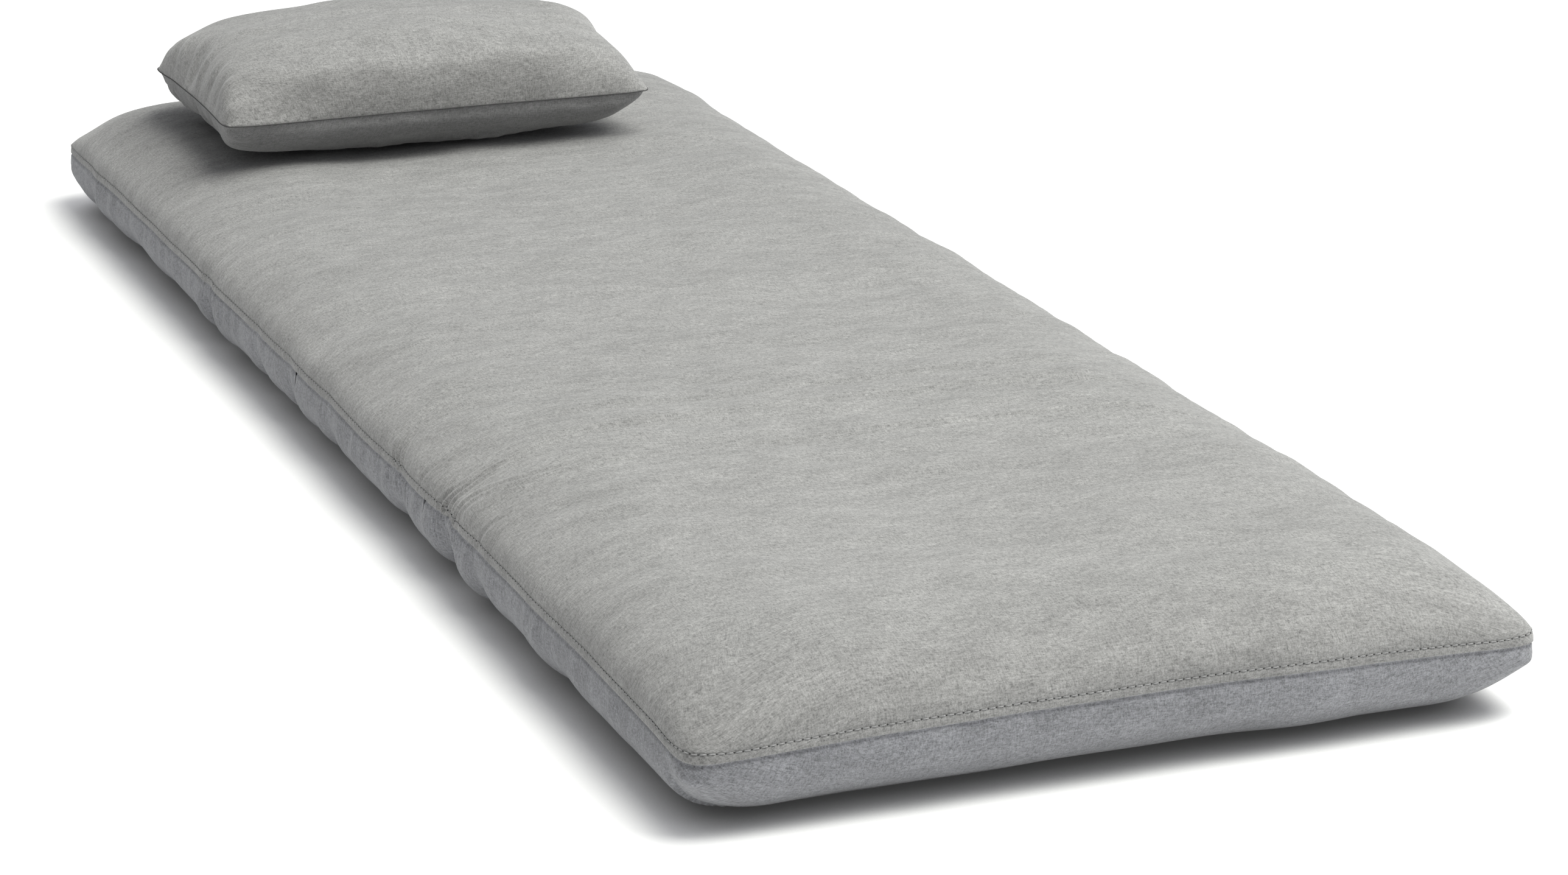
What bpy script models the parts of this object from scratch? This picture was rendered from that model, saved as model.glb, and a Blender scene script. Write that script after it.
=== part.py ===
"""Folding futon sofa bed with a loose pillow, lying flat as a bed.

Metres, +Z up. The origin is on the floor under the middle of the mattress. X runs across the
width, +Y towards the head end, where the pillow lies.

The mattress has four padded sections: back, seat, bridge and foot. Each is a steel tube frame
between two foam pads, in a sewn cover with one seam around its sides. Steel hinges on both
sides join the sections at the height of that seam, so every hinge axis runs along X.
"""

import math

import bmesh
import bpy
from mathutils import Matrix, Vector

# Mattress
WIDTH = 0.710
BACK_LENGTH = 0.660
SEAT_LENGTH = 0.595
BRIDGE_LENGTH = 0.213
FOOT_LENGTH = 0.532
THICKNESS = 0.122
SEAM_HEIGHT = 0.066
TOP_ROLL = 0.143
BASE_ROLL = 0.085
ROLL_POWER = 2.2
MOST_ROLL = 0.97

# Clearances
GAP = 0.0003
FOLD_GAP = 0.003
FOAM_CLEARANCE = 0.002
FILLING_CLEARANCE = 0.004
FOLD_SPARE = 1.05

# Cover and foam
COVER_WALL = 0.002
FOAM_EDGE = 0.003
SUPPORT_CLOTH = 0.001

# Frame tubes
TUBE_DIAMETER = 0.019
TUBE_WALL = 0.0012
TUBE_INSET = 0.055
TUBE_BEND = 0.060
CROSS_TUBE_INSET = 0.130

# Hinges
FOLD_ANGLE = math.radians(90)
PLATE = 0.003
ARM_HEIGHT = 0.012
ARM_IN_TUBE = 0.035
HINGE_REACH = 0.030
RIVET_RADIUS = 0.004
RIVET_HEAD = 0.007
RIVET_HEAD_HEIGHT = 0.0015
HEAD_GAP = 1.5 * GAP
LEAF_RADIUS = 0.014

# Ratchet of the back's hinges
RATCHET_RADIUS = 0.017
TOOTH_DEPTH = 0.0025
CLICKS = 5
TEETH_START = 0.02
PAWL_LIFT = 0.0005
PAWL_BITE = 0.0018
PAWL_PIVOT_RADIUS = 0.024
PAWL_PIVOT_ANGLE = math.radians(215)
PAWL_NOSE_ANGLE = math.radians(248)
PAWL_BOSS = 0.0035
PAWL_HALF_WIDTH = 0.0019
PAWL_NOSE_LENGTH = 1.3 * TOOTH_DEPTH
PAWL_OVERHANG = 0.0005
BOSS_START = math.radians(75)
BOSS_SWEEP = math.radians(240)
PAWL_PIN_RADIUS = 0.0015
PAWL_PIN_HEAD = 0.003
PAWL_PIN_HEAD_HEIGHT = 0.001
LOBE_WIDTH = 0.40

# Pillow
PILLOW_WIDTH = 0.470
PILLOW_LENGTH = 0.310
PILLOW_X = -0.045
PILLOW_Y = 0.710
PILLOW_LOWER = 0.052
PILLOW_UPPER = 0.076
PILLOW_TOP_ROLL = 0.150
PILLOW_BASE_ROLL = 0.110
PILLOW_WALL = 0.0015

# Zips
ZIP_WIDTH = 0.006
ZIP_THICKNESS = 0.0012
COVER_ZIP_LENGTH = 0.500
COVER_ZIP_DROP = 0.030
PILLOW_ZIP_LENGTH = 0.260
PILLOW_ZIP_DROP = 0.016
SLIDER_LENGTH = 0.010
SLIDER_HEIGHT = 0.007
SLIDER_THICKNESS = 0.002
SLIDER_ROUNDING = 0.0015
PULL_WIDTH = 0.004
PULL_LENGTH = 0.018
PULL_THICKNESS = 0.0008
PULL_GAP = 0.0006

# Worked out from the sizes above
LENGTH = BACK_LENGTH + SEAT_LENGTH + BRIDGE_LENGTH + FOOT_LENGTH
BACK_AXIS = LENGTH / 2 - BACK_LENGTH
BRIDGE_AXIS = BACK_AXIS - SEAT_LENGTH
FOOT_AXIS = BRIDGE_AXIS - BRIDGE_LENGTH
FOLD_SLOPE = FOLD_SPARE * math.tan(FOLD_ANGLE / 2)
TUBE_RADIUS = TUBE_DIAMETER / 2
HINGE_X = WIDTH / 2 - TUBE_INSET

# Fineness of the meshes
ROLL_STEPS = 5
TUBE_SIDES = 10
BEND_STEPS = 5
ROUND_STEPS = 16
PIN_STEPS = 12
BOSS_STEPS = 8
SHARP_ANGLE = math.radians(35)

SIDES = {"left": -1, "right": 1}


# Mesh helpers


def new_object(name, bm, material, pivot=None, smooth=True):
    """A mesh object from a bmesh in world coordinates, hung on its pivot if it has one."""
    bmesh.ops.recalc_face_normals(bm, faces=bm.faces)
    if bm.calc_volume(signed=True) < 0:
        bmesh.ops.reverse_faces(bm, faces=bm.faces)
    mesh = bpy.data.meshes.new(name)
    bm.to_mesh(mesh)
    bm.free()
    if smooth:
        mesh.shade_smooth()
        mesh.set_sharp_from_angle(angle=SHARP_ANGLE)
    mesh.materials.append(material)
    obj = bpy.data.objects.new(name, mesh)
    bpy.context.scene.collection.objects.link(obj)
    if pivot:
        obj.parent = pivot
        obj.matrix_parent_inverse = Matrix.Translation(world_place(pivot)).inverted()
    return obj


def world_place(pivot):
    """Where an empty stands, through its parents."""
    return pivot.location + (world_place(pivot.parent) if pivot.parent else Vector())


def new_pivot(name, place, parent=None):
    """An empty on a joint's axis."""
    pivot = bpy.data.objects.new(name, None)
    bpy.context.scene.collection.objects.link(pivot)
    pivot.parent = parent
    pivot.location = Vector(place) - (world_place(parent) if parent else Vector())
    return pivot


def between(upper, lower):
    """The closed solid between two grids of points of the same size."""
    bm = bmesh.new()
    rows, columns = len(upper), len(upper[0])
    top, bottom = ([[bm.verts.new(p) for p in row] for row in grid] for grid in (upper, lower))
    for j in range(rows - 1):
        for i in range(columns - 1):
            for grid in (top, bottom):
                bm.faces.new((grid[j][i], grid[j][i + 1], grid[j + 1][i + 1], grid[j + 1][i]))
    rim = [(0, i) for i in range(columns - 1)]
    rim += [(j, columns - 1) for j in range(rows - 1)]
    rim += [(rows - 1, i) for i in range(columns - 1, 0, -1)]
    rim += [(j, 0) for j in range(rows - 1, 0, -1)]
    for (j, i), (k, m) in zip(rim, rim[1:] + rim[:1]):
        bm.faces.new((top[j][i], top[k][m], bottom[k][m], bottom[j][i]))
    return bm


def box(low, high):
    """A box between two corners."""
    grids = [
        [[(x, y, z) for x in (low[0], high[0])] for y in (low[1], high[1])]
        for z in (high[2], low[2])
    ]
    return between(*grids)


def circle(radius, steps=ROUND_STEPS, centre=(0, 0)):
    """Points of a circle in the YZ plane."""
    angles = [2 * math.pi * n / steps for n in range(steps)]
    return [(centre[0] + radius * math.cos(a), centre[1] + radius * math.sin(a)) for a in angles]


def plate(outline, holes, x_low, x_high, axis_y):
    """A flat plate across X, from an outline and holes around a hinge axis at axis_y."""
    bm = bmesh.new()
    edges = []
    for loop in [outline, *holes]:
        verts = [bm.verts.new((x_low, axis_y + y, SEAM_HEIGHT + z)) for y, z in loop]
        edges += [bm.edges.new(pair) for pair in zip(verts, verts[1:] + verts[:1])]
    filled = bmesh.ops.triangle_fill(bm, use_beauty=True, edges=edges, normal=(1, 0, 0))
    faces = [f for f in filled["geom"] if isinstance(f, bmesh.types.BMFace)]
    raised = bmesh.ops.extrude_face_region(bm, geom=faces, use_keep_orig=True)["geom"]
    moved = [v for v in raised if isinstance(v, bmesh.types.BMVert)]
    bmesh.ops.translate(bm, verts=moved, vec=(x_high - x_low, 0, 0))
    return bm


def turned(profile, axis_y, axis_z):
    """A solid turned about X from (x, radius) points, closed at both ends."""
    bm = bmesh.new()
    rings = []
    for x, radius in profile:
        ring = circle(radius, centre=(axis_y, axis_z))
        rings.append([bm.verts.new((x, y, z)) for y, z in ring])
    for one, two in zip(rings, rings[1:]):
        for n in range(ROUND_STEPS):
            m = (n + 1) % ROUND_STEPS
            bm.faces.new((one[n], one[m], two[m], two[n]))
    bm.faces.new(rings[0])
    bm.faces.new(rings[-1])
    return bm


def tube(path):
    """A round tube with open ends along a path of points in the plane of the frame."""
    bm = bmesh.new()
    path = [Vector(p) for p in path]
    up = Vector((0, 0, 1))
    walls = []
    for radius in (TUBE_RADIUS, TUBE_RADIUS - TUBE_WALL):
        rings = []
        for n, point in enumerate(path):
            before = (point - path[max(n - 1, 0)]).normalized()
            after = (path[min(n + 1, len(path) - 1)] - point).normalized()
            along = (before + after).normalized()
            side = along.cross(up) / max(along.dot(after), along.dot(before))
            ring = circle(radius, TUBE_SIDES)
            rings.append([bm.verts.new(point + side * a + up * b) for a, b in ring])
        walls.append(rings)
        for one, two in zip(rings, rings[1:]):
            for n in range(TUBE_SIDES):
                m = (n + 1) % TUBE_SIDES
                bm.faces.new((one[n], one[m], two[m], two[n]))
    for end in (0, -1):
        outer, inner = walls[0][end], walls[1][end]
        for n in range(TUBE_SIDES):
            m = (n + 1) % TUBE_SIDES
            bm.faces.new((outer[n], outer[m], inner[m], inner[n]))
    return bm


# Shape of a cushion: two panels, each rolled down to one seam around its sides


class Cushion:
    """A cushion whose seam lies flat at one height, with its own rise above and drop below."""

    def __init__(self, centre, width, length, seam, rises, rolls, wall):
        self.centre, self.width, self.length, self.seam = centre, width, length, seam
        self.rises, self.wall = rises, wall
        most = MOST_ROLL * min(width, length) / 2
        self.rolls = {face: min(roll, most) for face, roll in rolls.items()}

    def share(self, distance, face):
        """How much of the full height the panel has this far in from its edge, 0 to 1."""
        part = 1 - min(max(distance, 0) / self.rolls[face], 1)
        return (1 - part**ROLL_POWER) ** (1 / ROLL_POWER)

    def distance(self, share, face):
        """How far in from its edge the panel has this share of its full height."""
        return self.rolls[face] * (1 - (1 - share**ROLL_POWER) ** (1 / ROLL_POWER))

    def roll_steps(self, face, first=0.0):
        """Distances in from the edge, from the first one to where the panel is level."""
        start = math.acos((1 - first / self.rolls[face]) ** (ROLL_POWER / 2))
        turns = [start + (math.pi / 2 - start) * n / ROLL_STEPS for n in range(ROLL_STEPS + 1)]
        return [self.rolls[face] * (1 - max(math.cos(t), 0) ** (2 / ROLL_POWER)) for t in turns]

    def height(self, x, y, face, inset=0):
        """The panel's height at a place, or that of a surface inset behind it."""
        from_side = self.width / 2 - inset - abs(x - self.centre[0])
        from_end = self.length / 2 - inset - abs(y - self.centre[1])
        share = self.share(from_side, face) * self.share(from_end, face)
        rim = GAP / 2
        return self.seam + face * (rim + (self.rises[face] - inset - rim) * share)

    def pad_edge(self, face, plane):
        """How far in from the cover's wall a pad ends that lies on a plane above the seam."""
        rise = self.rises[face] - self.wall - FOAM_CLEARANCE
        return self.distance(math.sqrt((plane + FOAM_EDGE) / rise), face)


MATTRESS = Cushion(
    centre=(0, 0),
    width=WIDTH,
    length=LENGTH,
    seam=SEAM_HEIGHT,
    rises={1: THICKNESS - SEAM_HEIGHT, -1: SEAM_HEIGHT},
    rolls={1: TOP_ROLL, -1: BASE_ROLL},
    wall=COVER_WALL,
)
PILLOW = Cushion(
    centre=(PILLOW_X, PILLOW_Y),
    width=PILLOW_WIDTH,
    length=PILLOW_LENGTH,
    seam=THICKNESS + GAP + PILLOW_LOWER,
    rises={1: PILLOW_UPPER, -1: PILLOW_LOWER},
    rolls={1: PILLOW_TOP_ROLL, -1: PILLOW_BASE_ROLL},
    wall=PILLOW_WALL,
)


def fold_edge(axis, direction, start, slope, height):
    """Where a section ends beside a fold's axis, at a height from the axis."""
    return axis + direction * (start + slope * max(height, 0))


def across(cushion, face, inset, edge):
    """X of each column of a panel, closer together where it rolls down."""
    half = cushion.width / 2 - inset - edge
    steps = [half - (d - edge) for d in cushion.roll_steps(face, edge)]
    return [cushion.centre[0] + x for x in [-s for s in steps] + [0] + steps[::-1]]


def panel_grid(cushion, face, inset, folds, start, edge=0.0, plane=None):
    """Points of a surface behind a panel of the cover, or of a plane with the same outline.

    Folds are the Y of the hinge axes at the low and the high end. None is the cushion's own
    end. The surface starts this far from a fold's axis, and slopes away from it with height.
    """
    ends = [cushion.centre[1] + sign * (cushion.length / 2 - inset - edge) for sign in (-1, 1)]
    slope = FOLD_SLOPE if face > 0 else 0
    rolled = [d - edge for d in cushion.roll_steps(face, edge)]
    fold_y = next((y for y in folds if y is not None), cushion.centre[1])
    columns = []
    for x in across(cushion, face, inset, edge):
        if plane is None:
            rise = abs(cushion.height(x, fold_y, face, inset) - cushion.seam)
        else:
            rise = plane
        low, high = ends
        if folds[0] is not None:
            low = fold_edge(folds[0], 1, start, slope, rise)
        if folds[1] is not None:
            high = fold_edge(folds[1], -1, start, slope, rise)
        ys = [low + d for d in rolled] if folds[0] is None else [low]
        ys += [(ys[-1] + (high - rolled[-1] if folds[1] is None else high)) / 2]
        ys += [high - d for d in rolled[::-1]] if folds[1] is None else [high]
        if plane is None:
            columns.append([(x, y, cushion.height(x, y, face, inset)) for y in ys])
        else:
            columns.append([(x, y, cushion.seam + face * plane) for y in ys])
    return columns


def cover_panel(cushion, face, folds=(None, None)):
    """One panel of a sewn cover, as thick as its cloth, open where a fold cuts it."""
    outer = panel_grid(cushion, face, 0, folds, FOLD_GAP)
    inner = panel_grid(cushion, face, cushion.wall, folds, FOLD_GAP)
    return between(outer, inner)


def foam_pad(face, plane, folds):
    """A foam pad between the frame, at a plane off the seam's height, and the cover."""
    inset = COVER_WALL + FOAM_CLEARANCE
    edge = MATTRESS.pad_edge(face, plane)
    flat = panel_grid(MATTRESS, face, inset, folds, HINGE_REACH, edge, plane)
    return between(panel_grid(MATTRESS, face, inset, folds, HINGE_REACH, edge), flat)


def pillow_filling():
    """The pillow's loose filling, as one solid inside its cover."""
    inset = PILLOW_WALL + FILLING_CLEARANCE
    edge = max(PILLOW.pad_edge(face, 0) for face in (1, -1))
    upper = panel_grid(PILLOW, 1, inset, (None, None), 0, edge)
    lower = [
        [(x, y, PILLOW.height(x, y, -1, inset)) for x, y, _ in column] for column in upper
    ]
    return between(upper, lower)


# Frame


def side_tube(sign, low_axis, high_axis):
    """A straight side tube between two hinges."""
    x = sign * HINGE_X
    ends = (low_axis + HINGE_REACH, high_axis - HINGE_REACH)
    return tube([(x, y, SEAM_HEIGHT) for y in ends])


def bent_tube(axis, direction):
    """A U of tube from both hinges on an axis around the far end of the section."""
    end = direction * (LENGTH / 2 - TUBE_INSET)
    path = [(-HINGE_X, axis + direction * HINGE_REACH, SEAM_HEIGHT)]
    for sign in (-1, 1):
        centre = (sign * (HINGE_X - TUBE_BEND), end - direction * TUBE_BEND)
        turns = range(BEND_STEPS + 1) if sign < 0 else range(BEND_STEPS, -1, -1)
        for n in turns:
            a = math.pi / 2 * n / BEND_STEPS
            x = centre[0] + sign * TUBE_BEND * math.cos(a)
            path.append((x, centre[1] + direction * TUBE_BEND * math.sin(a), SEAM_HEIGHT))
    path.append((HINGE_X, axis + direction * HINGE_REACH, SEAM_HEIGHT))
    return tube(path)


def cross_tube(y):
    """A tube across the frame, butted against both side tubes."""
    reach = HINGE_X - TUBE_RADIUS - GAP
    return tube([(-reach, y, SEAM_HEIGHT), (reach, y, SEAM_HEIGHT)])


def support_cloth(low, high):
    """The cloth stretched over a section's tubes, under its upper foam."""
    half = HINGE_X - TUBE_BEND * (1 - math.sqrt(0.5))
    z = SEAM_HEIGHT + TUBE_RADIUS + GAP
    return box((-half, low, z), (half, high, z + SUPPORT_CLOTH))


# Hinges


def arm_outline(radius, direction, lobe=0.0, lobe_angle=0.0):
    """A leaf's outline: an arm along the frame, and a round head that may have a lobe."""
    half = ARM_HEIGHT / 2
    root = math.asin(half / radius)
    middle = 0 if direction > 0 else math.pi
    mouth, tip = HINGE_REACH - 2 * GAP, HINGE_REACH + ARM_IN_TUBE
    arm = [(mouth, -half), (tip, -half), (tip, half), (mouth, half)]
    outline = [(direction * y, direction * z) for y, z in arm]
    steps = 2 * ROUND_STEPS
    for n in range(steps + 1):
        a = middle + root + (2 * math.pi - 2 * root) * n / steps
        off = (a - lobe_angle + math.pi) % (2 * math.pi) - math.pi
        r = radius + lobe * math.exp(-((off / LOBE_WIDTH) ** 2))
        outline.append((r * math.cos(a), r * math.sin(a)))
    return outline


def leaf_x(sign, outer):
    """The two faces of a leaf: the fixed leaf lies inwards, the moving one outwards."""
    side = 1 if outer else -1
    faces = [HINGE_X + side * GAP / 2, HINGE_X + side * (GAP / 2 + PLATE)]
    return sorted(sign * x for x in faces)


def plain_leaf(sign, axis, direction, outer):
    """A leaf of a plain hinge, with its arm towards one side of the axis."""
    rivet_hole = circle(RIVET_RADIUS + GAP)
    return plate(arm_outline(LEAF_RADIUS, direction), [rivet_hole], *leaf_x(sign, outer), axis)


def pawl_pivot():
    """Where the pawl turns, from the hinge's axis."""
    angle = PAWL_PIVOT_ANGLE
    return PAWL_PIVOT_RADIUS * math.cos(angle), PAWL_PIVOT_RADIUS * math.sin(angle)


def engaged_angle():
    """The angle around the hinge's axis at which the pawl's nose enters the teeth."""
    py, pz = pawl_pivot()
    tip = RATCHET_RADIUS + PAWL_LIFT
    y, z = tip * math.cos(PAWL_NOSE_ANGLE) - py, tip * math.sin(PAWL_NOSE_ANGLE) - pz
    turn = PAWL_TURN
    y, z = y * math.cos(turn) - z * math.sin(turn), y * math.sin(turn) + z * math.cos(turn)
    return math.atan2(z + pz, y + py)


def pawl_turn():
    """How far the pawl turns, from lifted clear of the teeth to fully in them."""
    py, pz = pawl_pivot()
    tip = RATCHET_RADIUS + PAWL_LIFT
    arm = math.dist((py, pz), (tip * math.cos(PAWL_NOSE_ANGLE), tip * math.sin(PAWL_NOSE_ANGLE)))
    far = PAWL_PIVOT_RADIUS

    def corner(radius):
        return math.acos((far**2 + arm**2 - radius**2) / (2 * far * arm))

    return corner(tip) - corner(RATCHET_RADIUS - PAWL_BITE)


PAWL_TURN = pawl_turn()


def ratchet_leaf(sign):
    """The back's own leaf: a toothed head on an arm into the back's frame."""
    pitch = FOLD_ANGLE / CLICKS
    half = ARM_HEIGHT / 2
    root_radius = RATCHET_RADIUS - TOOTH_DEPTH
    arm_angle = math.asin(half / root_radius)
    reach = HINGE_REACH + ARM_IN_TUBE
    first, last = arm_angle + TEETH_START, 2 * math.pi - arm_angle - TEETH_START
    outline = [(reach, -half), (reach, half)]
    valley = engaged_angle() % pitch
    outline.append((root_radius * math.cos(arm_angle), half))
    for n in range(int(4 * math.pi / pitch)):
        a = valley + n * pitch / 2
        r = RATCHET_RADIUS if n % 2 else root_radius
        if first < a < last:
            outline.append((r * math.cos(a), r * math.sin(a)))
    outline.append((root_radius * math.cos(arm_angle), -half))
    return plate(outline, [circle(RIVET_RADIUS + GAP)], *leaf_x(sign, True), BACK_AXIS)


def pawl_holder_leaf(sign):
    """The seat's leaf of the back's hinge, with a lobe that carries the pawl's pin."""
    lobe = PAWL_PIVOT_RADIUS + PAWL_BOSS - RATCHET_RADIUS
    outline = arm_outline(RATCHET_RADIUS, -1, lobe, PAWL_PIVOT_ANGLE)
    holes = [circle(RIVET_RADIUS + GAP), circle(PAWL_PIN_RADIUS + GAP, PIN_STEPS, pawl_pivot())]
    return plate(outline, holes, *leaf_x(sign, False), BACK_AXIS)


def pawl(sign):
    """The pawl, lifted clear of the teeth: a boss, an arm and a wedge-shaped nose."""
    tip = RATCHET_RADIUS + PAWL_LIFT
    base = tip + PAWL_NOSE_LENGTH
    outer = PAWL_PIVOT_RADIUS + PAWL_OVERHANG
    half = PAWL_HALF_WIDTH

    def at(radius, sideways):
        a = PAWL_NOSE_ANGLE + sideways / radius
        return radius * math.cos(a), radius * math.sin(a)

    centre = pawl_pivot()
    boss = []
    for n in range(BOSS_STEPS + 1):
        a = PAWL_PIVOT_ANGLE + BOSS_START - BOSS_SWEEP * n / BOSS_STEPS
        boss.append((centre[0] + PAWL_BOSS * math.cos(a), centre[1] + PAWL_BOSS * math.sin(a)))
    outline = [at(tip, 0), at(base, half), at(outer, half), *boss, at(base, -half)]
    hole = circle(PAWL_PIN_RADIUS + GAP, PIN_STEPS, centre)
    return plate(outline, [hole], *leaf_x(sign, True), BACK_AXIS)


def headed_pin(sign, y, z, radius, head, head_height):
    """A pin through both leaves of a hinge, with a head on each side."""
    out = PLATE + HEAD_GAP
    profile = [
        (-out - head_height, head),
        (-out, head),
        (-out, radius),
        (out, radius),
        (out, head),
        (out + head_height, head),
    ]
    return turned([(sign * HINGE_X + x, r) for x, r in profile], y, z)


def rivet(sign, axis):
    """The rivet that a hinge turns on."""
    return headed_pin(sign, axis, SEAM_HEIGHT, RIVET_RADIUS, RIVET_HEAD, RIVET_HEAD_HEIGHT)


def pawl_pin(sign):
    """The pin the pawl turns on."""
    y, z = BACK_AXIS + pawl_pivot()[0], SEAM_HEIGHT + pawl_pivot()[1]
    return headed_pin(sign, y, z, PAWL_PIN_RADIUS, PAWL_PIN_HEAD, PAWL_PIN_HEAD_HEIGHT)


# Zips, each on the far side of its cushion, under the seam


def zip_place(cushion, drop):
    """Where a zip's chain lies on the head side of a cushion: its inner Y and middle Z."""
    z = cushion.seam - drop
    share = (drop - ZIP_WIDTH / 2) / cushion.rises[-1]
    y = cushion.centre[1] + cushion.length / 2 - cushion.distance(share, -1)
    return y + GAP, z


def zip_chain(cushion, drop, length):
    """The closed chain of a zip."""
    y, z = zip_place(cushion, drop)
    x = cushion.centre[0]
    low = (x - length / 2, y, z - ZIP_WIDTH / 2)
    return box(low, (x + length / 2, y + ZIP_THICKNESS, z + ZIP_WIDTH / 2))


def zip_slider(cushion, drop, length):
    """The slider, at the end of the chain where the zip is closed."""
    y, z = zip_place(cushion, drop)
    y += ZIP_THICKNESS + GAP
    x = cushion.centre[0] - length / 2 + SLIDER_LENGTH
    half = (SLIDER_LENGTH / 2, 0, SLIDER_HEIGHT / 2)
    bm = box((x - half[0], y, z - half[2]), (x + half[0], y + SLIDER_THICKNESS, z + half[2]))
    upright = [e for e in bm.edges if abs((e.verts[0].co - e.verts[1].co).y) > GAP]
    bmesh.ops.bevel(bm, geom=upright, offset=SLIDER_ROUNDING, segments=2, affect="EDGES")
    return bm


def pull_axis(cushion, drop):
    """The Y and Z of the axis that a zip's pull tab swings on."""
    y, z = zip_place(cushion, drop)
    y += ZIP_THICKNESS + GAP + SLIDER_THICKNESS + PULL_GAP
    return y + PULL_THICKNESS / 2, z + SLIDER_HEIGHT / 4


def zip_pull(cushion, drop, length):
    """The pull tab, hanging from the slider."""
    y, z = pull_axis(cushion, drop)
    x = cushion.centre[0] - length / 2 + SLIDER_LENGTH
    top = z + PULL_THICKNESS / 2
    half = PULL_THICKNESS / 2
    low = (x - PULL_WIDTH / 2, y - half, top - PULL_LENGTH)
    return box(low, (x + PULL_WIDTH / 2, y + half, top))


# Materials


def material(name, colour, roughness, metallic=0.0):
    """A plain material."""
    made = bpy.data.materials.new(name)
    made.use_nodes = True
    shader = made.node_tree.nodes["Principled BSDF"]
    shader.inputs["Base Color"].default_value = (*colour, 1)
    shader.inputs["Roughness"].default_value = roughness
    shader.inputs["Metallic"].default_value = metallic
    return made


# The assembly


def build_section(name, folds, pivot, looks):
    """A section's two cover panels and two foam pads. Folds are its hinge axes, low and high."""
    upper_plane = TUBE_RADIUS + SUPPORT_CLOTH + 2 * GAP
    lower_plane = TUBE_RADIUS + GAP
    new_object(f"{name}_cover_top", cover_panel(MATTRESS, 1, folds), looks["cover"], pivot)
    new_object(f"{name}_cover_base", cover_panel(MATTRESS, -1, folds), looks["cover"], pivot)
    new_object(f"{name}_foam_upper", foam_pad(1, upper_plane, folds), looks["foam"], pivot)
    new_object(f"{name}_foam_lower", foam_pad(-1, lower_plane, folds), looks["foam"], pivot)


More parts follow.
